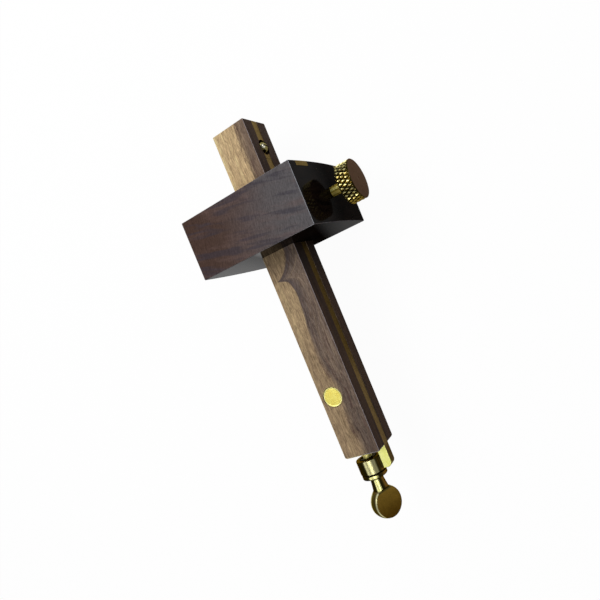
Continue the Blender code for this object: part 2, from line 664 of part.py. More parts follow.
def turn_profile():
    """Flange, hollow fillet, flared neck and ball, from the ball's top down."""
    base = TURN_CLEARANCE
    flange_top = base + TURN_FLANGE_THICKNESS
    rounding, fillet = TURN_FLANGE_ROUNDING, TURN_NECK_FILLET
    meeting = math.degrees(math.asin(TURN_NECK_FLARE_RADIUS / TURN_BALL_RADIUS))
    ball = arc((0, TURN_BALL_STATION), TURN_BALL_RADIUS, 90, meeting - 90, BALL_STEPS * 2)
    hollow = arc((TURN_NECK_RADIUS + fillet, flange_top + fillet), fillet, 180, 270, CORNER_STEPS)
    upper_edge = arc((TURN_FLANGE_RADIUS - rounding, flange_top - rounding), rounding, 90, 0, 2)
    lower_edge = arc((TURN_FLANGE_RADIUS - rounding, base + rounding), rounding, 0, -90, 2)
    return [(0, TURN_BALL_STATION + TURN_BALL_RADIUS)] + ball[1:] + hollow + upper_edge + lower_edge + [(0, base)]


def flat_cutter(side, turn_frame):
    """Takes one side off the ball, with a round run-out into the neck."""
    near = TURN_FLAT_THICKNESS / 2
    far = TURN_BALL_RADIUS + OVERRUN
    start = TURN_FLAT_START
    end = TURN_BALL_STATION + far
    runout = arc((start, near + TURN_RUNOUT_RADIUS), TURN_RUNOUT_RADIUS, -90, -180, CORNER_STEPS)
    outline = [(end, near)] + runout + [(start - TURN_RUNOUT_RADIUS, far), (end, far)]
    word = "upper_flat" if side > 0 else "lower_flat"
    mesh = outlined(word, [(x, side * y) for x, y in outline], far * 2)
    return cutter(word, mesh, turn_frame, rotation=(TURN_ANGLE, 0, 0))


def make_thumb_turn(turn_frame):
    mesh = turned("thumb_turn", turn_profile())
    turn = finish_piece(place("thumb_turn", mesh, turn_frame, rotation=ALONG_X), BRASS)
    for side in (1, -1):
        combine(turn, flat_cutter(side, turn_frame))
    socket = rod("turn_socket", ADJUST_RADIUS + FIT_GAP, -OVERRUN, TURN_SOCKET_DEPTH)
    combine(turn, cutter("turn_socket", socket, turn_frame, rotation=ALONG_X))


def main():
    make_stock()
    make_bush()
    shoe_frame = frame("shoe_frame", None, (0, 0, STEM_AXIS_Z))
    lock_frame = frame("lock_frame", shoe_frame, (0, 0, 0))
    make_shoe(shoe_frame)
    make_lock_screw(lock_frame)
    make_knob(lock_frame)

    stem_frame = frame("stem_frame", None, (STEM_START_X, 0, STEM_AXIS_Z))
    make_stem(stem_frame)
    make_end_plate(stem_frame)
    make_end_screw(stem_frame)
    make_fixed_spur(stem_frame)
    make_dowel_nut(stem_frame)

    slide_frame = frame("slide_frame", stem_frame, (0, 0, 0))
    make_slide_bar(slide_frame)
    make_carriage(slide_frame)
    make_moving_spur(slide_frame)
    make_boss(slide_frame)

    turn_frame = frame("turn_frame", slide_frame, (BOSS_END, ADJUST_OFFSET, 0))
    make_adjusting_screw(turn_frame)
    make_retaining_ring(turn_frame)
    make_thumb_turn(turn_frame)


main()
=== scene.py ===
"""Looks for the screw slide mortise gauge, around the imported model.

The part's own frame is in metres: +X runs along the stem from the spurs to the
thumb turn, +Y towards the clamping knob, +Z up. Shapes are drawn in millimetres
and carried into that frame, and materials read places in millimetres.
"""

import json
import math

import bmesh
import bpy
from mathutils import Matrix, Vector


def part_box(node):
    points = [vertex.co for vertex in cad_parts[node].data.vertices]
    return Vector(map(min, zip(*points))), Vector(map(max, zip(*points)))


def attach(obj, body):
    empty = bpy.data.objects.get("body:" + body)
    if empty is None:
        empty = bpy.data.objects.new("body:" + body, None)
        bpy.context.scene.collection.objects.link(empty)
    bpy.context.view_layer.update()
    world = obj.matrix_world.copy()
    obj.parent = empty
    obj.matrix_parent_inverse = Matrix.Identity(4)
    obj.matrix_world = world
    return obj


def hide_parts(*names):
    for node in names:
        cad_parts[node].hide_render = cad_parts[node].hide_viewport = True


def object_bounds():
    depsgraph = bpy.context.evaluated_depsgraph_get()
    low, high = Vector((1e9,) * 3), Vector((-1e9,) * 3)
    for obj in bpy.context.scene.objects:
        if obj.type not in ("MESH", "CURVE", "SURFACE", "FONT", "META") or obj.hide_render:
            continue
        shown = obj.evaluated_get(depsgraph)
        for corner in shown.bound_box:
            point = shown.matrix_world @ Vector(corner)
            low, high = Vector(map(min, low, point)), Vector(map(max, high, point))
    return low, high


MM = 0.001

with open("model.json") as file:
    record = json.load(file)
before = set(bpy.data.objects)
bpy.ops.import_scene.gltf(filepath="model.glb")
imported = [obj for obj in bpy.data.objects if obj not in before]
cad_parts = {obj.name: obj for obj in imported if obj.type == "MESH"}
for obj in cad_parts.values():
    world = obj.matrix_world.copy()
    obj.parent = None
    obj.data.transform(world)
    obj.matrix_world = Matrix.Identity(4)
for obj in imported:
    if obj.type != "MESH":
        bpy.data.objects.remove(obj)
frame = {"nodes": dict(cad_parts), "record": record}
NODES = frame["nodes"]
CAD_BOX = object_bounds()


# Sizes

# Corners in metres and, about the stem's axis, half sizes in millimetres
STEM_LOW, STEM_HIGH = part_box("stem")
STOCK_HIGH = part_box("stock")[1]
AXIS_Z = (STEM_LOW.z + STEM_HIGH.z) / 2
STEM_LENGTH = (STEM_HIGH.x - STEM_LOW.x) / MM
STEM_HALF_Y = STEM_HIGH.y / MM
STEM_HALF_Z = (STEM_HIGH.z - AXIS_Z) / MM
STOCK_HALF = tuple(value / MM for value in (STOCK_HIGH.x, STOCK_HIGH.y, STOCK_HIGH.z - AXIS_Z))
STOCK_CROWN = 1.5
STRIP_INNER, STRIP_OUTER, STRIP_DEPTH = 14.0, 23.5, 2.4

# Millimetres from the stem's pin end or from its axis
BAR_TOP, BAR_FLOOR, BAR_HALF = 9.3, 4.5, 2.4
PLATE_END, SLIDE_START, LUG_END = 19.4, 19.45, STEM_LENGTH + 10.6
SCREW_STATION, RECESS_FLOOR, RECESS_RADIUS = 13.6, 7.9, 3.8
FIXED_SPUR, MOVING_SPUR, SPUR_HOLE = 5.0, 8.5, 1.0
DOWEL_STATION, DOWEL_LINE, ADJUST_Y = STEM_LENGTH - 31.1, 4.2, -2.8
BOSS_START, BOSS_LENGTH = STEM_LENGTH + 4.2, 7.2
BOSS_END = BOSS_START + BOSS_LENGTH
TURN_AT = (STEM_LOW.x + BOSS_END * MM, ADJUST_Y * MM, AXIS_Z)
TURN_ANGLE = 30
KNOB_CREST, KNURL_DEPTH, KNOB_RIM = 9.52, 0.6, 0.5

# How far cutting tools reach: past the stem's faces, through the stock, past the stock's ends
CLEAR, THROUGH, PAST = 12, 20, 40

# From millimetres about a place on the stem or the stock to the part's frame
IN_STEM = Matrix.Translation((STEM_LOW.x, 0, AXIS_Z)) @ Matrix.Scale(MM, 4)
IN_STOCK = Matrix.Translation((0, 0, AXIS_Z)) @ Matrix.Scale(MM, 4)
IN_TURN = Matrix.Translation(TURN_AT) @ Matrix.Scale(MM, 4)
Z_TO_Y = Matrix.Rotation(-math.pi / 2, 4, "X")
Z_TO_X = Matrix.Rotation(math.pi / 2, 4, "Y")
IN_RECESS = IN_STEM @ Matrix.Translation((SCREW_STATION, 0, 0)) @ Z_TO_Y
IN_DOWEL = IN_STEM @ Matrix.Translation((DOWEL_STATION, ADJUST_Y, 0))
IN_BOSS = IN_STEM @ Matrix.Translation((BOSS_START, ADJUST_Y, 0))


# Node trees

class Tree:
    """A material's node tree, with short calls for the nodes used here."""

    def __init__(self, name):
        self.material = bpy.data.materials.new(name)
        self.material.use_nodes = True
        self.nodes = self.material.node_tree.nodes
        self.links = self.material.node_tree.links
        self.shader = self.nodes["Principled BSDF"]
        self.output = self.nodes["Material Output"]

    def add(self, kind, **settings):
        """A new node with its settings."""
        node = self.nodes.new(kind)
        for key, value in settings.items():
            setattr(node, key, value)
        return node

    def feed(self, socket, value):
        """Links an output to a socket, or sets the socket to a constant."""
        if isinstance(value, bpy.types.NodeSocket):
            self.links.new(value, socket)
        else:
            socket.default_value = value

    def place(self):
        """Object coordinates in millimetres."""
        place = self.add("ShaderNodeVectorMath", operation="SCALE")
        self.feed(place.inputs[0], self.add("ShaderNodeTexCoord").outputs["Object"])
        place.inputs["Scale"].default_value = 1 / MM
        return place.outputs["Vector"]

    def normal(self):
        """The direction that a face looks in."""
        return self.add("ShaderNodeTexCoord").outputs["Normal"]

    def split(self, vector):
        """The three parts of a vector."""
        node = self.add("ShaderNodeSeparateXYZ")
        self.feed(node.inputs[0], vector)
        return node.outputs[0], node.outputs[1], node.outputs[2]

    def join(self, *parts):
        """A vector from its three parts."""
        node = self.add("ShaderNodeCombineXYZ")
        for socket, value in zip(node.inputs, parts):
            self.feed(socket, value)
        return node.outputs[0]

    def stretch(self, vector, scale, offset=(0, 0, 0)):
        """A place scaled along each axis, so that noise draws out along the smallest scale."""
        node = self.add("ShaderNodeMapping")
        self.feed(node.inputs["Vector"], vector)
        node.inputs["Scale"].default_value = scale
        node.inputs["Location"].default_value = offset
        return node.outputs["Vector"]

    def math(self, operation, a, b=0.0, c=0.0, clamp=False):
        """One step of arithmetic."""
        node = self.add("ShaderNodeMath", operation=operation, use_clamp=clamp)
        for socket, value in zip(node.inputs, (a, b, c)):
            self.feed(socket, value)
        return node.outputs[0]

    def times(self, first, *others):
        """The product of two or more values."""
        for other in others:
            first = self.math("MULTIPLY", first, other)
        return first

    def noise(self, vector, scale=1.0, detail=4.0, roughness=0.55, distortion=0.0):
        """Noise from 0 to 1, mostly between 0.3 and 0.7."""
        node = self.add("ShaderNodeTexNoise")
        self.feed(node.inputs["Vector"], vector)
        node.inputs["Scale"].default_value = scale
        node.inputs["Detail"].default_value = detail
        node.inputs["Roughness"].default_value = roughness
        node.inputs["Distortion"].default_value = distortion
        return node.outputs["Fac"]

    def ramp(self, value, stops):
        """Colours or greys at places between 0 and 1."""
        node = self.add("ShaderNodeValToRGB")
        self.feed(node.inputs[0], value)
        elements = node.color_ramp.elements
        while len(elements) < len(stops):
            elements.new(0.5)
        for element, (place, colour) in zip(elements, stops):
            element.position = place
            if not isinstance(colour, tuple):
                colour = (colour, colour, colour)
            element.color = colour + (1,)
        return node.outputs["Color"]

    def smooth(self, value, low, high, to_low=0.0, to_high=1.0):
        """A soft step from one value to another."""
        node = self.add("ShaderNodeMapRange", interpolation_type="SMOOTHSTEP")
        for socket, number in zip(node.inputs, (value, low, high, to_low, to_high)):
            self.feed(socket, number)
        return node.outputs[0]

    def mix(self, factor, a, b, blend="MIX"):
        """Two colours, each an output or three numbers, mixed by a factor."""
        node = self.add("ShaderNodeMix", data_type="RGBA", blend_type=blend)
        self.feed(node.inputs[0], factor)
        # Sockets 6 and 7 and output 2 are the ones for colours
        for socket, colour in ((6, a), (7, b)):
            if not isinstance(colour, bpy.types.NodeSocket):
                colour = tuple(colour) + (1,)
            self.feed(node.inputs[socket], colour)
        return node.outputs[2]

    def bump(self, height, strength, distance):
        """A shading normal from a height, its distance in millimetres."""
        node = self.add("ShaderNodeBump")
        self.feed(node.inputs["Height"], height)
        node.inputs["Strength"].default_value = strength
        node.inputs["Distance"].default_value = distance * MM
        return node.outputs["Normal"]

    def facing(self, axis, low, high, both=False):
        """From 0 to 1 as a face turns towards an axis, or also away from it."""
        node = self.add("ShaderNodeVectorMath", operation="DOT_PRODUCT")
        self.feed(node.inputs[0], self.normal())
        node.inputs[1].default_value = axis
        share = node.outputs["Value"]
        return self.smooth(self.math("ABSOLUTE", share) if both else share, low, high)

    def edges(self):
        """1 on the roundings between the flat faces of a block."""
        largest = 0.0
        for part in self.split(self.normal()):
            largest = self.math("MAXIMUM", self.math("ABSOLUTE", part), largest)
        return self.smooth(largest, 0.95, 0.75)

    def finish(self, colour, roughness, normal=None, **constants):
        """The material, its shader's sockets filled in."""
        self.feed(self.shader.inputs["Base Color"], colour)
        self.feed(self.shader.inputs["Roughness"], roughness)
        if normal is not None:
            self.feed(self.shader.inputs["Normal"], normal)
        for name, value in constants.items():
            self.shader.inputs[name.replace("_", " ")].default_value = value
        return self.material


def srgb(red, green, blue):
    """A colour given in the 0 to 255 of a screen, as linear light."""
    def linear(channel):
        channel /= 255
        return channel / 12.92 if channel <= 0.04045 else ((channel + 0.055) / 1.055) ** 2.4
    return tuple(linear(channel) for channel in (red, green, blue))


# Tests: each takes a tree and gives, from 0 to 1, how far a place passes

ACROSS, ALONG, BACK, UP = (0, 1, 0), (1, 0, 0), (-1, 0, 0), (0, 0, 1)


def looking(axis, low, high, both=False):
    """Where a face turns towards an axis, or also away from it."""
    return lambda tree: tree.facing(axis, low, high, both)


def stations(low, high):
    """Where the distance along X, in mm, passes from one value to another."""
    return lambda tree: tree.smooth(tree.split(tree.place())[0], low, high)


def across(low, high):
    """Where the distance along Y, in mm, passes from one value to another."""
    return lambda tree: tree.smooth(tree.split(tree.place())[1], low, high)


def ring_around(centre, low, high):
    """Where the distance from an axis, in mm, passes from one value to another."""
    def test(tree):
        away = tree.add("ShaderNodeVectorMath", operation="MULTIPLY_ADD")
        tree.feed(away.inputs[0], tree.place())
        away.inputs[1].default_value = [0 if part is None else 1 for part in centre]
        away.inputs[2].default_value = [0 if part is None else -part for part in centre]
        length = tree.add("ShaderNodeVectorMath", operation="LENGTH")
        tree.feed(length.inputs[0], away.outputs[0])
        return tree.smooth(length.outputs["Value"], low, high)
    return test


def together(*tests):
    """Where all the tests hold."""
    return lambda tree: tree.times(*(test(tree) for test in tests))


def axis_through(box, turned_about):
    """The middle of a box in mm, with None for the direction that the axis runs in."""
    low, high = box
    return [None if part == turned_about else (low[part] + high[part]) / 2 / MM
            for part in range(3)]


SCREW_AXIS = [STEM_LOW.x / MM + SCREW_STATION, None, AXIS_Z / MM]
DOWEL_AXIS = axis_through(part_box("dowel_nut"), 2)
KNOB_AXIS = axis_through(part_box("lock_knob"), 1)


# Woods

# How much the lacquer reflects across the stock's fence side and the side opposite, from 0 to 1,
# set low where those sides should look dark, a painted shade
STOCK_POLISH_AND_SHADE = [
    (0.075, 0.35), (0.206, 0.31), (0.331, 0.235), (0.375, 0.50), (0.406, 0.58), (0.456, 0.44),
    (0.512, 0.26), (0.565, 0.26), (0.600, 0.10), (0.630, 0.01), (0.738, 0.0), (0.769, 0.05),
    (0.812, 0.15), (0.850, 0.21), (0.919, 0.30), (1.0, 0.31)]


def stock_wood():
    """Dark rosewood, its grain along Y, redder towards the -Y end, with near-black end grain."""
    tree = Tree("stock rosewood")
    place = tree.place()
    x, y, z = tree.split(place)
    mix, smooth, times = tree.mix, tree.smooth, tree.times
    end = tree.facing(ACROSS, 0.80, 0.97, both=True)
    side = tree.facing(ALONG, 0.80, 0.97, both=True)

    # The grain of the large faces slants by 13 degrees
    cosine, sine = 0.974, 0.225
    slant = tree.join(tree.math("ADD", times(x, cosine), times(y, -sine)),
                      tree.math("ADD", times(x, sine), times(y, cosine)), z)
    bands = tree.noise(tree.stretch(slant, (0.30, 0.032, 0.20), (5.2, 0.4, 1)),
                       detail=3, distortion=0.4)
    blush = tree.noise(tree.stretch(slant, (0.16, 0.03, 0.16), (9, 2, 4)), detail=4, roughness=0.6)
    fine = tree.noise(tree.stretch(slant, (0.30, 2.0, 2.0)), detail=5, roughness=0.68,
                      distortion=0.5)
    grit = tree.noise(place, scale=1.3, detail=4, roughness=0.7)
    pores = tree.noise(tree.stretch(slant, (0.50, 2.8, 2.8), (7, 0, 2)), detail=2, roughness=0.5)
    dark_pores = smooth(pores, 0.62, 0.70)

    # From brown at the -Y end to grey at the knob; the grey is a painted sheen
    drift = tree.noise(tree.stretch(place, (0.05, 0.03, 0.05)), detail=2)
    along = tree.math("MULTIPLY_ADD", drift, 26, tree.math("ADD", y, -13))
    colour = tree.ramp(smooth(along, -34, 32), [
        (0.0, srgb(72, 55, 48)), (0.25, srgb(77, 61, 55)), (0.55, srgb(87, 75, 73)),
        (0.85, srgb(88, 83, 84)), (1.0, srgb(90, 87, 89))])
    colour = mix(smooth(blush, 0.45, 0.68, 0, 0.45), colour, srgb(104, 84, 80))
    colour = mix(smooth(bands, 0.50, 0.64, 0, 0.55), colour, srgb(58, 55, 64))
    colour = mix(0.38, colour, tree.ramp(fine, [(0.34, 0.26), (0.64, 0.74)]), "OVERLAY")
    colour = mix(0.30, colour, tree.ramp(grit, [(0.34, 0.28), (0.64, 0.72)]), "OVERLAY")
    colour = mix(times(dark_pores, 0.40), colour, srgb(44, 34, 34))

    # A painted highlight along the upper edges, brightest at the knob's end
    edge = times(tree.edges(), smooth(y, 24, 31, 0.15, 0.80), tree.facing(UP, 0.25, 0.5))
    colour = mix(edge, colour, srgb(172, 174, 182))

    # Near-black arched ends and sides
    rings = tree.noise(tree.stretch(place, (0.5, 0.05, 0.12), (1, 0, 4)), detail=5, distortion=0.5)
    end_colour = tree.ramp(rings, [(0.35, srgb(8, 5, 4)), (0.68, srgb(20, 13, 9))])
    for dark_face in (end, side):
        colour = mix(dark_face, colour, end_colour)

    # Lacquer there, in strips across the sides and stronger towards the top of the ends;
    # the strips fall low where the sides should look dark, a painted shade
    aslant = tree.math("MULTIPLY_ADD", z, -0.4, tree.math("ADD", y, 11.5))
    side_polish_and_shade = tree.ramp(tree.math("MULTIPLY_ADD", aslant, 1 / 80, 0.5), STOCK_POLISH_AND_SHADE)
    end_polish = times(end, smooth(z, 25, 52, 0.03, 0.14))
    tree.feed(tree.shader.inputs["Coat Weight"],
              tree.math("MULTIPLY_ADD", side, side_polish_and_shade, end_polish))

    height = tree.math("ADD", times(fine, 0.5), times(dark_pores, -0.5))
    height = times(height, tree.math("SUBTRACT", 1.0, end))
    roughness = tree.math("MULTIPLY_ADD", bands, 0.12, 0.34)
    roughness = tree.math("ADD", roughness, times(end, -0.26))
    return tree.finish(colour, roughness, tree.bump(height, 0.25, 0.08),
                       Specular_IOR_Level=0.0, Coat_Roughness=0.10)


# The dark figure's edge along the stem: distance from the pin end and its offset across, in mm
FIGURE = [
    (0, 4.5), (4, 4.4), (8, 4.0), (12.6, 3.8), (18.4, 3.6), (27.4, 3.5), (48, 3.9), (58, 3.9),
    (63.5, 3.5), (67.0, 2.6), (70.2, 0.9), (73.4, -1.8), (75.4, -4.5), (76.3, -6.9), (76.7, -4.7),
    (77.6, -1.9), (79.4, -0.5), (81.8, 0.15), (85.2, 0.8), (88.9, 0.65), (95, 0.2), (99.4, -0.6),
    (105.5, -1.2), (110.9, -1.5), (114.8, -1.55), (122, -0.95), (128, 0.3), (133, 1.5),
    (139, 1.3), (147, 0.5), (153, 0.45), (159, 1.5), (168, 1.5)]
FIGURE_SPIKE, FIGURE_END, FIGURE_WIDTH = 76.3, 168, 20


def figure_edge(tree, along):
    """How far across the stem the dark figure begins, in mm."""
    curve = tree.add("ShaderNodeFloatCurve")
    tree.feed(curve.inputs["Value"], along)
    points = curve.mapping.curves[0].points
    while len(points) < len(FIGURE):
        points.new(0.5, 0.5)
    for point, (station, offset) in zip(points, FIGURE):
        point.location = (station / FIGURE_END, 0.5 + offset / FIGURE_WIDTH)
        point.handle_type = "VECTOR" if abs(station - FIGURE_SPIKE) < 3 else "AUTO_CLAMPED"
    curve.mapping.update()
    return tree.times(tree.math("SUBTRACT", curve.outputs[0], 0.5), FIGURE_WIDTH)


def stem_wood():
    """Streaked rosewood, its grain along X: tan on the -Y side, dark heart on the +Y side."""
    tree = Tree("stem rosewood")
    place = tree.place()
    x, y, z = tree.split(place)
    mix, smooth, times = tree.mix, tree.smooth, tree.times
    along = tree.math("DIVIDE", tree.math("SUBTRACT", x, STEM_LOW.x / MM), STEM_LENGTH)
    at_pins = smooth(along, 0.34, 0.12)

    # The distance beyond the figure's edge, which wavers more away from the spike
    waver = tree.noise(tree.stretch(place, (0.09, 1.1, 1.1)), detail=6, roughness=0.75)
    waver = tree.math("SUBTRACT", waver, 0.5)
    spread = tree.math("ABSOLUTE", tree.math("SUBTRACT", along, FIGURE_SPIKE / FIGURE_END))
    loose = times(waver, smooth(spread, 0.02, 0.34, 0.9, 6.0))
    beyond = tree.math("SUBTRACT", y, tree.math("ADD", figure_edge(tree, along), loose))
    soft = smooth(spread, 0.03, 0.45, 1.0, 5.0)
    heart = smooth(tree.math("DIVIDE", beyond, soft), -0.35, 0.70)

    def drawn(scale, offset=(0, 0, 0), **settings):
        """Noise drawn out along the stem."""
        return tree.noise(tree.stretch(place, scale, offset), **settings)

    def figured(scale, **settings):
        """Noise drawn out along the figure's edge."""
        parts = (times(part, factor) for part, factor in zip((beyond, x, z), scale))
        return tree.noise(tree.join(*parts), **settings)

    def shades(value, places, *tones):
        """A ramp of colours in 0 to 255."""
        return tree.ramp(value, [(at, srgb(*tone)) for at, tone in zip(places, tones)])

    streaks = drawn((0.022, 0.50, 0.50), detail=6, roughness=0.62, distortion=0.3)
    fibres = drawn((0.26, 1.35, 1.35), detail=5, roughness=0.70, distortion=0.9)
    dashes = drawn((0.30, 2.1, 2.1), (0, 7, 2), detail=2, roughness=0.5, distortion=0.7)
    pores = drawn((0.40, 4.6, 4.6), (0, 3, 5), detail=2, roughness=0.5)
    veins = figured((0.75, 0.02, 0.05), detail=4, roughness=0.6)

    # The tan side, paler at the pins and partly again midway as painted light, and the brown
    # heart, darker at the tail as painted shade
    bars = (0.32, 0.44, 0.52, 0.60, 0.70)
    pale = shades(streaks, bars, (172, 144, 108), (196, 170, 130), (182, 155, 118),
                  (202, 178, 134), (186, 158, 120))
    tan = shades(streaks, bars, (128, 107, 82), (156, 134, 104), (140, 118, 93),
                 (162, 140, 108), (146, 123, 95))
    midway = times(smooth(along, 0.42, 0.50, 0, 0.40), smooth(along, 0.68, 0.58))
    tan = mix(tree.math("SUBTRACT", smooth(along, 0.20, 0.42), midway), pale, tan)
    brown = shades(veins, (0.32, 0.43, 0.52, 0.64), (96, 84, 78), (132, 114, 97),
                   (112, 97, 88), (136, 118, 100))
    brown = mix(times(at_pins, 0.6), brown, srgb(122, 101, 82))
    brown = mix(smooth(along, 0.62, 1.0, 0, 0.55), brown, srgb(74, 63, 56))
    colour = mix(heart, tan, brown)

    # A dark line on the figure's edge, then dark threads and scores beyond it
    line = times(smooth(beyond, -0.40, 0.20), smooth(beyond, 6.2, 0.8))
    near_spike = times(smooth(along, 0.30, 0.40), smooth(along, 0.72, 0.48))
    line = times(line, tree.math("MULTIPLY_ADD", near_spike, 0.42, 0.20))
    colour = mix(line, colour, srgb(70, 64, 70))
    threads = figured((1.5, 0.06, 0.1), detail=3, roughness=0.6, distortion=0.3)
    threads = times(smooth(threads, 0.54, 0.62), smooth(beyond, -2.0, -0.5))
    clear = tree.math("MAXIMUM", smooth(along, 0.30, 0.45, 0.75, 0.40),
                      smooth(along, 0.50, 0.75, 0.40, 0.90))
    colour = mix(times(threads, clear), colour, srgb(84, 64, 58))
    scores = figured((2.6, 0.05, 0.1), detail=3, roughness=0.6, distortion=0.2)
    scores = times(smooth(scores, 0.52, 0.60), smooth(along, 0.42, 0.60),
                   smooth(beyond, -0.6, 0.6), smooth(beyond, 9, 3, 0.25, 0.75))
    colour = mix(scores, colour, srgb(66, 54, 50))

    # At the pins, one broken vein beside the edge and pale sapwood at the -Y corner
    broken = drawn((0.12, 0.9, 0.9), (3, 1, 8), detail=3)
    beside = tree.math("ADD", beyond, tree.math("MULTIPLY_ADD", broken, 3.0, -2.3))
    vein = smooth(tree.math("ABSOLUTE", beside), 0.50, 0.15)
    colour = mix(times(vein, at_pins, 0.65), colour, srgb(74, 54, 46))
    sap = smooth(y, -6.4, -9.2)
    colour = mix(times(sap, at_pins, 0.65), colour, srgb(226, 204, 152))

    # Fibres, dashes and pores
    colour = mix(0.85, colour, tree.ramp(fibres, [(0.34, 0.26), (0.64, 0.74)]), "OVERLAY")
    dashes = times(smooth(dashes, 0.55, 0.66), smooth(beyond, -7, 3, 0.35, 0.70))
    colour = mix(dashes, colour, mix(0.8, colour, srgb(88, 66, 56)))
    dark_pores = smooth(pores, 0.60, 0.68)
    colour = mix(times(dark_pores, 0.35), colour, srgb(66, 50, 42))

    # Painted highlights on the rounded edges, the dark +Y side with painted shade beside the
    # stock, painted shade on the recess's wall, and the end grain
    # Painted highlight: pale rounded edges, bluish on the +Y side
    rim = mix(smooth(y, -2, 2), srgb(226, 206, 156), srgb(168, 160, 166))
    colour = mix(times(tree.edges(), 0.85), colour, rim)
    dark_side = shades(streaks, (0.32, 0.50, 0.68), (34, 18, 10), (58, 40, 27), (44, 29, 20))
    # Painted shade: the +Y side darkest beside the stock
    shaded = times(smooth(x, 50, 12, 0, 0.75), smooth(x, -22, -12))
    dark_side = mix(shaded, dark_side, srgb(10, 4, 3))
    colour = mix(tree.facing(ACROSS, 0.80, 0.95), colour, dark_side)
    # Painted shade on the recess's wall around the domed screw
    recess_shade_mask = ring_around(SCREW_AXIS, RECESS_RADIUS + 0.18, RECESS_RADIUS + 0.04)
    recess_wall_shade = times(recess_shade_mask(tree), smooth(y, 4, 5))
    colour = mix(recess_wall_shade, colour, srgb(14, 8, 6))
    end_grain = tree.facing(ALONG, 0.75, 0.97, both=True)
    colour = mix(times(end_grain, 0.55), colour, srgb(48, 34, 28))

    height = tree.math("ADD", times(fibres, 0.5), times(dashes, -0.35))
    height = tree.math("ADD", height, times(dark_pores, -0.5))
    roughness = tree.math("MULTIPLY_ADD", streaks, 0.15, 0.38)
    return tree.finish(colour, roughness, tree.bump(height, 0.28, 0.08), Specular_IOR_Level=0.04)


# Metals

# What brass reflects at a grazing angle: bright pieces, dull ones and the knob
EDGE_TINT, DULL_EDGE, KNOB_EDGE = (srgb(*tint) + (1,) for tint in (
    (226, 218, 192), (186, 174, 130), (220, 206, 190)))


def brass(name, colour, roughness, lines=(1, 1, 1), depth=0.1, mottle=0.5, tones=(),
          polished=None, edge=EDGE_TINT):
    """Metal with tool marks, drawn out along the smallest of lines, and a faint tarnish.

    Tones pair a test with a colour and are mostly painted highlights and painted shade.
    Polished is a test for where it is smoother.
    """
    tree = Tree(name)
    place = tree.place()
    marks = tree.noise(tree.stretch(place, lines), scale=6, detail=3, roughness=0.6)
    cloud = tree.noise(place, scale=0.45, detail=5, roughness=0.6)
    shade = srgb(*colour)
    for where, tone in tones:
        shade = tree.mix(where(tree), shade, srgb(*tone))
    shade = tree.mix(mottle, shade, tree.ramp(cloud, [(0.33, 0.60), (0.65, 0.40)]), "OVERLAY")
    shade = tree.mix(mottle * 0.8, shade, tree.ramp(marks, [(0.35, 0.64), (0.65, 0.36)]),
                     "OVERLAY")
    rough = tree.math("MULTIPLY_ADD", marks, 0.14, roughness - 0.07)
    rough = tree.math("MULTIPLY_ADD", cloud, 0.10, tree.math("SUBTRACT", rough, 0.05))
    if polished:
        rough = tree.math("SUBTRACT", rough, tree.times(polished(tree), 0.25))
    return tree.finish(shade, rough, tree.bump(marks, depth, 0.02), Metallic=1.0,
                       Specular_Tint=edge)


# The slide's outer face
bar_top = looking(ACROSS, 0.75, 0.97)

# The domed screw, the only piece of its metal at that end
at_pin_end = stations(-20, -21)

# The boss and the thumb turn, on the two sides of the boss's face
BOSS_FACE = TURN_AT[0] / MM
on_boss = stations(BOSS_FACE + 0.65, BOSS_FACE + 0.05)
on_turn = stations(BOSS_FACE + 0.05, BOSS_FACE + 0.65)
below_neck = across(3.2, 2.6)

# The thumb turn's ball, its two flat sides and the rim beside them, where a highlight is painted
NECK_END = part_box("thumb_turn")[1].x / MM - 15
FLAT_SIDE = (0, math.cos(math.radians(TURN_ANGLE)), math.sin(math.radians(TURN_ANGLE)))
on_ball = stations(NECK_END, NECK_END + 1)
on_flats = together(on_ball, looking(FLAT_SIDE, 0.985, 0.998, both=True))
rim_painted_highlight = together(on_ball, looking(FLAT_SIDE, 0.17, 0.27, both=True),
                     looking(FLAT_SIDE, 0.60, 0.45, both=True), looking(ALONG, 0.80, 0.60))

KNOB_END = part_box("lock_knob")[1].y / MM

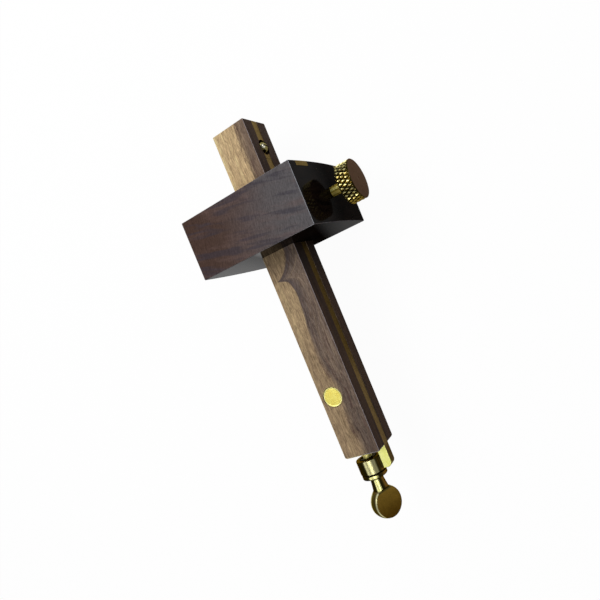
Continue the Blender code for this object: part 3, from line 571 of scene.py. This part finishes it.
MATERIALS = {
    "stock_wood": stock_wood(),
    "stem_wood": stem_wood(),
    "strip_brass": brass(
        "strip brass", (150, 128, 78), 0.42, lines=(1, 0.05, 1),
        # Painted shade on the strips' ends, which face ±Y
        tones=[(looking(ACROSS, 0.7, 0.95, both=True), (106, 88, 54))]),
    "slide_brass": brass(
        "slide brass", (246, 246, 150), 0.40, lines=(1, 1, 0.08), depth=0.14, mottle=0.8,
        # Painted shade on the outer face, darkest from the stock out to 88 mm and on the lug
        tones=[(bar_top, (112, 93, 60)),
               (together(bar_top, stations(-16, -14)), (78, 60, 32)),
               (together(bar_top, stations(68, 88)), (108, 88, 58)),
               (together(bar_top, stations(118, 122)), (78, 58, 34)),
               # Painted shade on the +X ends; the pin end face a mid tone
               (looking(ALONG, 0.2, 0.7), (100, 80, 54)),
               (looking(BACK, 0.5, 0.9), (176, 158, 92)),
               # Painted shade on the wall of the screw's recess
               (ring_around(SCREW_AXIS, RECESS_RADIUS + 0.15, RECESS_RADIUS + 0.02),
                (62, 40, 14))]),
    "dowel_brass": brass(
        "dowel brass", (231, 217, 112), 0.42, lines=(0.25, 1, 1), depth=0.14, mottle=0.9,
        tones=[(ring_around(DOWEL_AXIS, DOWEL_LINE, DOWEL_LINE + 0.2), (244, 238, 160))]),
    "turned_brass": brass(
        # Painted shade: the dark olive base, with painted highlights laid over it
        "turned brass", (52, 45, 17), 0.32, lines=(1, 0.2, 0.2), mottle=0.6, edge=DULL_EDGE,
        # Painted highlights: cream bands on the boss and the thumb turn
        tones=[(together(looking((0, 0.40, 0.917), 0.87, 0.955), on_boss, below_neck),
                (222, 216, 158)),
               (together(looking((0, 0.30, 0.954), 0.90, 0.97), on_turn), (255, 250, 172)),
               # Painted shade on faces towards +Y and -X, and a dark olive ball
               (looking(ACROSS, 0.84, 0.97), (108, 80, 36)),
               (looking(BACK, 0.60, 0.95), (112, 90, 60)),
               (on_ball, (84, 74, 40)),
               # Painted highlight on the ball's rim
               (rim_painted_highlight, (250, 244, 190)),
               # Painted shade on the flats, darker towards +X
               (on_flats, (124, 98, 38)),
               (together(on_flats, stations(NECK_END + 0.25, NECK_END + 16.25)), (76, 52, 10))]),
    "knob_brass": brass(
        "knob brass", (208, 176, 74), 0.30, lines=(0.2, 1, 0.2), edge=KNOB_EDGE,
        # Painted highlight on the facets that face up, towards -X and +Y
        tones=[(looking((-0.36, 0.30, 0.883), 0.66, 0.90), (252, 240, 166)),
               # Painted shade on facets facing ±X, in the grooves, on the rim and on the face
               (looking(BACK, 0.72, 0.90), (72, 60, 18)),
               (looking(ALONG, 0.64, 0.90), (72, 56, 18)),
               (ring_around(KNOB_AXIS, KNOB_CREST - 0.16, KNOB_CREST - 0.50), (44, 36, 12)),
               (across(KNOB_END - KNOB_RIM, KNOB_END - KNOB_RIM + 0.1), (48, 42, 16)),
               (looking(ACROSS, 0.80, 0.97, both=True), (46, 24, 30))]),
    "screw_brass": brass(
        "screw brass", (176, 160, 78), 0.46, lines=(1, 0.2, 0.2), polished=at_pin_end,
        tones=[(across(30, 31), (178, 156, 66)),
               # Painted highlights: two stripes along the screws
               (looking((-0.20, 0, 0.98), 0.95, 0.99), (255, 244, 150)),
               (looking((0.59, 0, 0.81), 0.95, 0.99), (246, 222, 120)),
               (stations(100, 102), (246, 238, 150)),
               (at_pin_end, (128, 120, 76)),
               # Painted highlight, a glint on the domed screw
               (together(looking((-0.02, 0.787, 0.616), 0.92, 0.98), at_pin_end),
                (255, 252, 232))]),
    "spur_steel": brass("spur steel", (170, 172, 176), 0.28, lines=(1, 0.1, 1), mottle=0.2),
    # Painted shade: the ring near-black, as if in the counterbore's shade
    "ring_steel": brass("ring steel", (26, 23, 18), 0.50, mottle=0.2),
}

SLOTS = {row["node"]: row["material_slot"] for row in frame["record"]["subparts"]}
for node, piece in NODES.items():
    piece.data.materials.clear()
    piece.data.materials.append(MATERIALS[SLOTS[node]])


# Shapes

def placed(name, data):
    """A new object in the scene."""
    piece = bpy.data.objects.new(name, data)
    bpy.context.scene.collection.objects.link(piece)
    return piece


def finished(name, mesh, carry, body, slot, *nodes):
    """Carries a mesh to its place, as a piece that rides on a body and stands for CAD nodes."""
    mesh.transform(carry)
    piece = placed(name, mesh)
    mesh.materials.clear()
    mesh.materials.append(MATERIALS[slot])
    piece.modifiers.new("even shading", "WEIGHTED_NORMAL").keep_sharp = True
    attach(piece, body)
    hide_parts(*nodes)


def shade_by_angle(mesh, sharp):
    """Smooth shading, except at edges past an angle in degrees."""
    mesh.shade_smooth()
    mesh.set_sharp_from_angle(angle=math.radians(sharp))


def to_mesh(bm, name, sharp=35):
    """The finished mesh of a drawn shape."""
    bmesh.ops.recalc_face_normals(bm, faces=bm.faces)
    mesh = bpy.data.meshes.new(name)
    bm.to_mesh(mesh)
    bm.free()
    shade_by_angle(mesh, sharp)
    return mesh


def revolved(rows, steps=96):
    """A surface turned about Z from rows of (radius, height); a radius may depend on the angle."""
    bm = bmesh.new()
    rings = []
    for radius, height in rows:
        if radius == 0:
            rings.append([bm.verts.new((0, 0, height))])
            continue
        ring = []
        for step in range(steps):
            angle = math.tau * step / steps
            reach = radius(angle) if callable(radius) else radius
            ring.append(bm.verts.new((reach * math.cos(angle), reach * math.sin(angle), height)))
        rings.append(ring)
    for low, high in zip(rings, rings[1:]):
        for step in range(steps):
            after = (step + 1) % steps
            if len(low) == 1:
                bm.faces.new((low[0], high[step], high[after]))
            elif len(high) == 1:
                bm.faces.new((low[step], low[after], high[0]))
            else:
                bm.faces.new((low[step], low[after], high[after], high[step]))
    return bm


def arc(centre, radius, start, end, steps):
    """Points on an arc between two angles in degrees."""
    angles = [math.radians(start + (end - start) * step / steps) for step in range(steps + 1)]
    return [(centre[0] + radius * math.cos(angle), centre[1] + radius * math.sin(angle))
            for angle in angles]


def long_hole(start, end, radius):
    """The outline of a slot along X with round ends."""
    return (arc((end - radius, 0), radius, -90, 90, 16)
            + arc((start + radius, 0), radius, 90, 270, 16))


def prism(outline, low, high):
    """An outline in XY drawn out along Z."""
    bm = bmesh.new()
    bottom = [bm.verts.new((x, y, low)) for x, y in outline]
    top = [bm.verts.new((x, y, high)) for x, y in outline]
    bm.faces.new(reversed(bottom))
    bm.faces.new(top)
    for first in range(len(outline)):
        second = (first + 1) % len(outline)
        bm.faces.new((bottom[first], bottom[second], top[second], top[first]))
    return bm


def block(low, high):
    """A box between two corners."""
    bm = bmesh.new()
    bmesh.ops.create_cube(bm, size=1)
    low, high = Vector(low), Vector(high)
    bm.transform(Matrix.Translation((low + high) / 2) @ Matrix.Diagonal(high - low).to_4x4())
    return bm


def pin(radius, low, high, steps=64):
    """A cylinder about Z."""
    return revolved([(0, low), (radius, low), (radius, high), (0, high)], steps)


def about_y(bm, station=0.0):
    """Stands a shape turned about Z along Y, in the stem's or the stock's frame."""
    bm.transform(Matrix.Translation((station, 0, 0)) @ Z_TO_Y)
    return bm


def about_x(bm, y=0.0):
    """Lays a shape turned about Z along X."""
    bm.transform(Matrix.Translation((0, y, 0)) @ Z_TO_X)
    return bm


def shaped(bm, name, steps, sharp=35):
    """The mesh after ("bevel", width, segments) and "cut", "join" or "meet" with a shape."""
    base = placed(name, to_mesh(bm, name))
    tools = []
    for kind, *values in steps:
        if kind == "bevel":
            change = base.modifiers.new(kind, "BEVEL")
            change.width, change.segments = values
            change.limit_method = "ANGLE"
            change.angle_limit = math.radians(sharp)
            change.harden_normals = False
        else:
            tools.append(placed(kind, to_mesh(values[0], kind)))
            change = base.modifiers.new(kind, "BOOLEAN")
            change.operation = {"cut": "DIFFERENCE", "join": "UNION", "meet": "INTERSECT"}[kind]
            change.object = tools[-1]
            change.solver = "EXACT"
    graph = bpy.context.evaluated_depsgraph_get()
    mesh = bpy.data.meshes.new_from_object(base.evaluated_get(graph))
    for item in tools + [base]:
        bpy.data.objects.remove(item, do_unlink=True)
    mesh.name = name
    shade_by_angle(mesh, sharp)
    return mesh


def cuts(*tools):
    """The steps that cut several shapes out of one."""
    return [("cut", tool) for tool in tools]


# The stock and its strips

STOCK_ROUNDING = ("bevel", 0.4, 3)


def stock_form():
    """The stock's outer form, a block with arched ends."""
    half_x, half_y, half_z = STOCK_HALF
    radius = (half_z ** 2 + STOCK_CROWN ** 2) / (2 * STOCK_CROWN)
    swing = math.degrees(math.asin(half_z / radius))
    outline = (arc((half_y - radius, 0), radius, -swing, swing, 48)
               + arc((radius - half_y, 0), radius, 180 - swing, 180 + swing, 48))
    bm = prism(outline, -half_x, half_x)
    # X, Y and Z become Y, Z and X
    bm.transform(Matrix(((0, 0, 1, 0), (1, 0, 0, 0), (0, 1, 0, 0), (0, 0, 0, 1))))
    return bm


def strip_form(side, gap=0.0):
    """A strip in the fence face above or below the stem, or its groove where a gap is given."""
    low, high = sorted((side * (STRIP_INNER - gap), side * (STRIP_OUTER + gap)))
    fence = -STOCK_HALF[0]
    return block((fence - 2, -PAST, low), (fence + STRIP_DEPTH + gap, PAST, high))


def make_stock():
    """The stock, hollowed for the stem, the shoe, the bush and the screw, and both strips."""
    mortise = block((-THROUGH, -9.8, -10.1), (THROUGH, 9.8, 10.1))
    shoe_pocket = block((-11.3, 0, -6.3), (11.3, 15.7, 6.3))
    bush_hole = about_y(pin(4.15, 13, 26.3))
    screw_hole = about_y(pin(2.7, 16, PAST))
    grooves = [strip_form(side, 0.12) for side in (1, -1)]
    steps = [STOCK_ROUNDING] + cuts(mortise, shoe_pocket, bush_hole, screw_hole, *grooves)
    mesh = shaped(stock_form(), "stock_body_wood", steps)
    finished("stock_wood", mesh, IN_STOCK, "stock_body", "stock_wood", "stock")
    for side, word in ((1, "upper"), (-1, "lower")):
        mesh = shaped(stock_form(), "strip", [STOCK_ROUNDING, ("meet", strip_form(side))])
        finished("strip_" + word, mesh, IN_STOCK, "stock_body", "strip_brass",
                 "wear_strip_" + word)


# The stem and what is fixed in it

def stem_block():
    """The stem's outer form, rounded more at the tail than along its length."""
    bm = block((0, -STEM_HALF_Y, -STEM_HALF_Z), (STEM_LENGTH, STEM_HALF_Y, STEM_HALF_Z))
    bm.edges.ensure_lookup_table()
    tail = [edge for edge in bm.edges if all(vert.co.x > 1 for vert in edge.verts)]
    bmesh.ops.bevel(bm, geom=tail, offset=1.2, segments=5, profile=0.5, affect="EDGES")
    long = [edge for edge in bm.edges if edge.is_manifold and edge.calc_face_angle() > 1.0]
    bmesh.ops.bevel(bm, geom=long, offset=0.4, segments=3, profile=0.5, affect="EDGES")
    return bm


def recess():
    """The round recess of the domed screw, through the end plate and the wood."""
    return about_y(pin(RECESS_RADIUS, RECESS_FLOOR, CLEAR, 96), SCREW_STATION)


def make_stem():
    """The stem with its grooves and holes."""
    gap = 0.1
    bar_groove = block((-2, BAR_FLOOR - gap, -BAR_HALF - gap),
                       (STEM_LENGTH + 2, CLEAR, BAR_HALF + gap))
    carriage_groove = block((6.4, -CLEAR, -2.55), (44.8, -6.75, 2.55))
    post_slot = about_y(prism(long_hole(22.35, 44.65, 1.95), -THROUGH, 5))
    spur_hole = about_y(pin(SPUR_HOLE, -CLEAR, -1), FIXED_SPUR)
    bore = about_x(pin(2.65, STEM_LENGTH - 57.3, STEM_LENGTH + 2), ADJUST_Y)
    dowel_hole = pin(5.1, -THROUGH, THROUGH, 96)
    dowel_hole.transform(Matrix.Translation((DOWEL_STATION, ADJUST_Y, 0)))
    mesh = shaped(stem_block(), "stem_wood", cuts(
        bar_groove, recess(), carriage_groove, post_slot, spur_hole, bore, dowel_hole))
    finished("stem_wood", mesh, IN_STEM, "stem_body", "stem_wood", "stem")


def make_end_plate():
    """The brass plate in the pin end, in line with the slide."""
    screw_hole = about_y(pin(1.75, 0, CLEAR), SCREW_STATION)
    plate = block((0, BAR_FLOOR, -BAR_HALF), (PLATE_END, BAR_TOP, BAR_HALF))
    mesh = shaped(plate, "end_plate", [("bevel", 0.2, 2)] + cuts(recess(), screw_hole))
    finished("plate", mesh, IN_STEM, "stem_body", "slide_brass", "end_plate")


def make_end_screw():
    """The domed screw in the end plate, its slot turned nearly across the stem."""
    seat, height, reach = RECESS_FLOOR + 0.9, 2.1, 2.9
    shank, tip, tip_start = 1.6, -2.0, -0.4
    slot_half, slot_depth, slot_angle = 0.4, 0.6, 77
    radius = (height ** 2 + reach ** 2) / (2 * height)
    swing = math.degrees(math.asin(reach / radius))
    dome = arc((0, seat + height - radius), radius, 90 - swing, 90, 16)
    rows = [(0, tip), (shank, tip_start), (shank, seat), (reach - 0.1, seat)]
    rows += dome[:-1] + [(0, seat + height)]
    slot = block((-5, -slot_half, seat + height - slot_depth), (5, slot_half, seat + height + 2))
    slot.transform(Matrix.Rotation(math.radians(slot_angle), 4, "Z"))
    mesh = shaped(revolved(rows), "domed_screw", [("cut", slot), ("bevel", 0.06, 2)], 50)
    finished("domed_screw", mesh, IN_RECESS, "stem_body", "screw_brass", "end_plate_screw")


def make_spur(name, station, top, body, node):
    """A spur, from a height in the wood or the carriage to its point 3 mm out."""
    tip, shank = -STEM_HALF_Y - 3.0, 0.9
    rows = [(0, tip), (0.06, tip + 0.08), (shank, tip + 2.2), (shank, top - 0.1),
            (shank - 0.1, top), (0, top)]
    mesh = to_mesh(about_y(revolved(rows, 48), station), name)
    finished(name, mesh, IN_STEM, body, "spur_steel", node)


def make_dowel():
    """The cross dowel with a turned line on each face and the screw's bore."""
    half, line, rim, bore = STEM_HALF_Z - 0.1, DOWEL_LINE, 5.0, 2.55
    face = [(0, half), (line - 0.1, half), (line, half - 0.05), (line + 0.1, half),
            (rim - 0.25, half), (rim, half - 0.25)]
    rows = [(radius, -height) for radius, height in face] + face[::-1]
    mesh = shaped(revolved(rows), "dowel", cuts(about_x(pin(bore, -8, 8))))
    finished("dowel", mesh, IN_DOWEL, "stem_body", "dowel_brass", "dowel_nut")


# The slide, its carriage and the boss

def make_slide_bar():
    """The slide bar with the lug that carries the boss."""
    corner = 2.8
    lug = arc((LUG_END - corner, BAR_TOP - corner), corner, 0, 90, 16)
    outline = [(SLIDE_START, BAR_FLOOR), (LUG_END, BAR_FLOOR)] + lug + [(SLIDE_START, BAR_TOP)]
    mesh = shaped(prism(outline, -BAR_HALF, BAR_HALF), "slide_bar", [("bevel", 0.2, 3)])
    finished("slide", mesh, IN_STEM, "slide_body", "slide_brass", "slide_bar")


def make_carriage():
    """The moving spur's foot, with the post that joins it to the slide bar."""
    foot = block((6.7, -9.3, -2.4), (28.5, -6.9, 2.4))
    post = about_y(prism(long_hole(22.5, 28.1, 1.8), -8, 4.2))
    spur_hole = about_y(pin(SPUR_HOLE, -CLEAR, -5), MOVING_SPUR)
    mesh = shaped(foot, "carriage", [("bevel", 0.2, 2), ("join", post), ("cut", spur_hole)])
    finished("carriage", mesh, IN_STEM, "slide_body", "slide_brass", "spur_carriage")


def make_boss():
    """The boss, a bored disc with a neck up to the lug."""
    bore, hollow, floor_at, rim, end = 2.65, 4.5, 0.9, 6.55, BOSS_LENGTH
    rows = [(bore, floor_at), (hollow, floor_at), (hollow, 0.1), (hollow + 0.1, 0),
            (rim - 0.3, 0), (rim - 0.1, 0.08), (rim, 0.3), (rim, end - 0.3),
            (rim - 0.08, end - 0.08), (rim - 0.3, end), (bore + 0.1, end), (bore, end - 0.1),
            (bore, floor_at)]
    boss = revolved(rows)
    bmesh.ops.remove_doubles(boss, verts=boss.verts, dist=0.0001)
    neck = block((0.3, 5.0, -BAR_HALF), (6.1, BAR_FLOOR - 0.02 - ADJUST_Y, BAR_HALF))
    mesh = shaped(about_x(boss), "boss", [("join", neck)])
    finished("boss", mesh, IN_BOSS, "slide_body", "turned_brass", "slide_boss")


# The screws and the thumb turn

def thread(start, end, crest, root, pitch, per_turn=8):
    """Rows of a screw thread, the radius following the helix."""
    rows = []
    count = round((end - start) / pitch * per_turn)
    for row in range(count + 1):
        height = start + (end - start) * row / count
        fade = min(1, row / per_turn, (count - row) / per_turn)

        def radius(angle, height=height, fade=fade):
            phase = (height / pitch - angle / math.tau) % 1
            return crest - (crest - root) * fade * (1 - abs(2 * phase - 1))
        rows.append((radius, height))
    return rows


def make_adjusting_screw():
    """The adjusting screw, from its tip in the stem to its end in the thumb turn."""
    crest, root, pitch = 2.4, 2.05, 0.8
    tip, end, chamfer = STEM_LENGTH - 57.0 - BOSS_END, 5.7, 0.6
    ring_radius, ring_low, ring_high = 1.9, -7.4, -6.0
    rows = [(0, tip), (crest - chamfer, tip), (crest, tip + chamfer)]
    rows += thread(tip + 0.8, -14.0, crest, root, pitch)
    rows += [(crest, -13.8), (crest, ring_low), (ring_radius, ring_low), (ring_radius, ring_high),
             (crest, ring_high), (crest, end - chamfer), (crest - chamfer, end), (0, end)]
    mesh = to_mesh(about_x(revolved(rows, 48)), "adjusting_thread", 28)
    finished("adjusting_thread", mesh, IN_TURN, "turn_body", "screw_brass", "adjusting_screw")


def make_thumb_turn():
    """The thumb turn: a collar, a hollowed neck and a ball milled flat on two sides."""
    base, top, collar, corner = 0.6, 2.6, 6.0, 0.4
    neck, hollow, neck_end = 3.4, 1.4, 4.1
    ball_at, ball = 16.6, 8.0
    flat, runout, runout_at, reach = 2.6, 2.6, 11.2, 30
    meeting = math.degrees(math.asin(neck_end / ball))
    neck_top = ball_at - ball * math.cos(math.radians(meeting))
    rows = [(0, base), (collar, base)] + arc((collar, base + corner), corner, -90, 0, 5)
    rows += arc((collar, top - corner), corner, 0, 90, 5)
    rows += arc((neck + hollow, top + hollow), hollow, 270, 180, 12)
    rows += [(neck + (neck_end - neck) * share ** 1.4,
              top + hollow + (neck_top - top - hollow) * share) for share in (0.2, 0.4, 0.6, 0.8)]
    rows += arc((0, ball_at), ball, meeting - 90, 90, 48)[:-1] + [(0, ball_at + ball)]
    steps = []
    for side in (1, -1):
        outline = [(reach, flat)] + arc((runout_at, flat + runout), runout, -90, -180, 16)
        outline += [(runout_at - runout, CLEAR), (reach, CLEAR)]
        tool = prism([(x, side * y) for x, y in outline], -CLEAR, CLEAR)
        tool.transform(Matrix.Rotation(math.radians(TURN_ANGLE), 4, "X"))
        steps.append(("cut", tool))
    steps.append(("bevel", 0.6, 4))
    mesh = shaped(about_x(revolved(rows, 128)), "thumb_turn", steps, 40)
    finished("turn", mesh, IN_TURN, "turn_body", "turned_brass", "thumb_turn")


def make_lock_screw():
    """The lock screw, from its tip in the shoe to its end in the knob."""
    low, high = (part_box("lock_screw")[end].y / MM for end in (0, 1))
    tip, crest, root, pitch = 1.6, 2.4, 2.12, 0.7
    rows = [(0, low), (tip - 0.1, low), (tip, low + 0.1), (tip, low + 1.6), (crest, low + 1.9)]
    rows += thread(low + 2.0, 26.0, crest, root, pitch)
    rows += [(crest, 26.2), (crest, high - 0.3), (crest - 0.3, high), (0, high)]
    mesh = to_mesh(about_y(revolved(rows, 48)), "lock_thread", 28)
    finished("lock_thread", mesh, IN_STOCK, "lock_body", "screw_brass", "lock_screw")


# The knob

def knurled_band(crest, depth, count, pitch, low, high):
    """A band of pyramids with small flat tops, laid out in XY and then wound about Z."""
    first_row, flat_top = 0.45, 0.16
    bm = bmesh.new()
    rows = math.ceil((high - low) / pitch) + 1
    for row in range(-1, rows + 1):
        for column in range(count):
            u0, v0 = column + row % 2 / 2, low + (row + first_row) * pitch
            corners = [(u0 + 0.5, v0), (u0, v0 + pitch), (u0 - 0.5, v0), (u0, v0 - pitch)]
            outer = [bm.verts.new((u, v, 0)) for u, v in corners]
            inner = [bm.verts.new((u0 + (u - u0) * flat_top, v0 + (v - v0) * flat_top, depth))
                     for u, v in corners]
            bm.faces.new(inner)
            for first in range(4):
                second = (first + 1) % 4
                bm.faces.new((outer[first], outer[second], inner[second], inner[first]))
    for side, limit in ((-1, low), (1, high)):
        everything = bm.verts[:] + bm.edges[:] + bm.faces[:]
        bmesh.ops.bisect_plane(bm, geom=everything, dist=1e-6, plane_co=(0, limit, 0),
                               plane_no=(0, side, 0), clear_outer=True)
    for vert in bm.verts:
        angle, reach = math.tau * vert.co.x / count, crest - depth + vert.co.z
        vert.co = (reach * math.cos(angle), reach * math.sin(angle), vert.co.y)
    bmesh.ops.remove_doubles(bm, verts=bm.verts, dist=0.001)
    return bm


def close_end(bm, height, rows):
    """Carries the open edge at a height over rings of (radius, height) to the axis."""
    edges = [edge for edge in bm.edges
             if edge.is_boundary and all(abs(vert.co.z - height) < 0.001 for vert in edge.verts)]
    for radius, level in rows:
        grown = bmesh.ops.extrude_edge_only(bm, edges=edges)["geom"]
        edges = [item for item in grown if isinstance(item, bmesh.types.BMEdge)]
        for vert in {vert for edge in edges for vert in edge.verts}:
            flat = Vector((vert.co.x, vert.co.y)).normalized() * max(radius, 0.001)
            vert.co = (flat.x, flat.y, level)
    bmesh.ops.remove_doubles(bm, verts=bm.verts, dist=0.01)


def make_knob():
    """The knob, with a plain rim, a dimpled face and a blind bore."""
    low, high = (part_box("lock_knob")[end].y / MM for end in (0, 1))
    band_low, band_high = low + 0.04, high - KNOB_RIM
    root, rim = KNOB_CREST - KNURL_DEPTH, KNOB_CREST - 0.06
    bore, bore_mouth, bore_depth = 2.6, 3.1, 5.0
    bm = knurled_band(KNOB_CREST, KNURL_DEPTH, 30, 1.95, band_low, band_high)
    close_end(bm, band_low, [(root, low), (bore_mouth, low), (bore, low + 0.3),
                             (bore, low + bore_depth), (0, low + bore_depth)])
    close_end(bm, band_high, [(root, band_high), (root, band_high + 0.1), (rim, band_high + 0.16),
                              (rim, high - 0.22), (KNOB_CREST - 0.3, high), (1.2, high),
                              (0.45, high - 0.02), (0, high - 0.12)])
    mesh = to_mesh(about_y(bm), "knob", 20)
    finished("knob", mesh, IN_STOCK, "lock_body", "knob_brass", "lock_knob")


make_stock()
make_stem()
make_end_plate()
make_end_screw()
make_slide_bar()
make_carriage()
make_spur("scribing_pin_fixed", FIXED_SPUR, -1.5, "stem_body", "fixed_spur")
make_spur("scribing_pin_moving", MOVING_SPUR, -7.0, "slide_body", "moving_spur")
make_dowel()
make_boss()
make_adjusting_screw()
make_thumb_turn()
make_lock_screw()
make_knob()


# Stage

def floor():
    """A white floor just under the part, lit in full only where the camera sees it."""
    drop, seen_lit, mirrored_lit = 0.0002, 0.96, 0.15
    bm = bmesh.new()
    bmesh.ops.create_grid(bm, x_segments=8, y_segments=8, size=2.5)
    mesh = bpy.data.meshes.new("floor")
    bm.to_mesh(mesh)
    bm.free()
    piece = placed("floor", mesh)
    piece.location.z = CAD_BOX[0][2] - drop
    tree = Tree("floor paper")
    tree.finish((0.93, 0.93, 0.93, 1), 0.9, Specular_IOR_Level=0.1)
    path = tree.add("ShaderNodeLightPath").outputs
    mirrored = tree.math("ADD", path["Is Glossy Ray"], path["Is Transmission Ray"], clamp=True)
    lit = tree.math("MULTIPLY_ADD", path["Is Camera Ray"], seen_lit,
                    tree.times(mirrored, mirrored_lit))
    glow = tree.add("ShaderNodeEmission")
    glow.inputs["Strength"].default_value = 1
    surface = tree.add("ShaderNodeMixShader")
    for socket, value in zip(surface.inputs, (lit, tree.shader.outputs[0], glow.outputs[0])):
        tree.feed(socket, value)
    tree.feed(tree.output.inputs["Surface"], surface.outputs[0])
    mesh.materials.append(tree.material)


def sky():
    """A grey surround, light at the horizon and dark above."""
    world = bpy.data.worlds.new("studio")
    bpy.context.scene.world = world
    world.use_nodes = True
    nodes, links = world.node_tree.nodes, world.node_tree.links
    split = nodes.new("ShaderNodeSeparateXYZ")
    links.new(nodes.new("ShaderNodeTexCoord").outputs["Generated"], split.inputs[0])
    ramp = nodes.new("ShaderNodeValToRGB")
    links.new(split.outputs[2], ramp.inputs[0])
    for element, (height, grey) in zip(ramp.color_ramp.elements, ((0.12, 0.62), (0.60, 0.12))):
        element.position = height
        element.color = (grey, grey, grey, 1)
    links.new(ramp.outputs[0], nodes["Background"].inputs["Color"])


def lamp(name, at, target, size, power):
    """A rectangular lamp that points at a target."""
    light = bpy.data.lights.new(name, "AREA")
    light.shape = "RECTANGLE"
    light.size, light.size_y = size
    light.energy = power
    piece = placed(name, light)
    piece.location = at
    piece.rotation_euler = (Vector(target) - Vector(at)).to_track_quat("-Z", "Y").to_euler()


def camera():
    """The photograph's camera, fitted to the corners of the stem and the stock."""
    image, sensor = 600, 36
    focal, centre_x, centre_y = 522.176, 319.030, 317.586
    data = bpy.data.cameras.new("camera")
    data.sensor_width = sensor
    data.lens = focal / image * sensor
    data.shift_x = (image / 2 - centre_x) / image
    data.shift_y = (centre_y - image / 2) / image
    data.clip_start = 0.01
    axes = Matrix(((0.3818049, -0.92419598, -0.00931732),
                   (0.81429673, 0.3316003, 0.47640536),
                   (-0.43720229, -0.18948097, 0.87917639)))
    piece = placed("camera", data)
    piece.matrix_world = Matrix.Translation((0.04874072, 0.12317156, 0.25300454)) @ axes.to_4x4()
    bpy.context.scene.camera = piece


floor()
sky()
lamp("main", (-0.33, -0.27, 0.78), (0.03, 0, 0.03), (0.5, 0.5), 4.2)
lamp("soft box", (0.14, -0.44, 0.78), (0.03, 0, 0.03), (0.8, 0.32), 1.1)
lamp("overhead", (0.30, 0.20, 0.73), (0.08, 0, 0.03), (0.25, 0.25), 0.8)
lamp("glint", (-0.26, 0.55, 0.15), (0, 0.03, 0.03), (0.12, 0.12), 0.35)
lamp("side", (-0.62, 0.10, 0.24), (0, 0.03, 0.03), (0.3, 0.3), 0.9)
camera()
bpy.context.scene.view_settings.view_transform = "Standard"
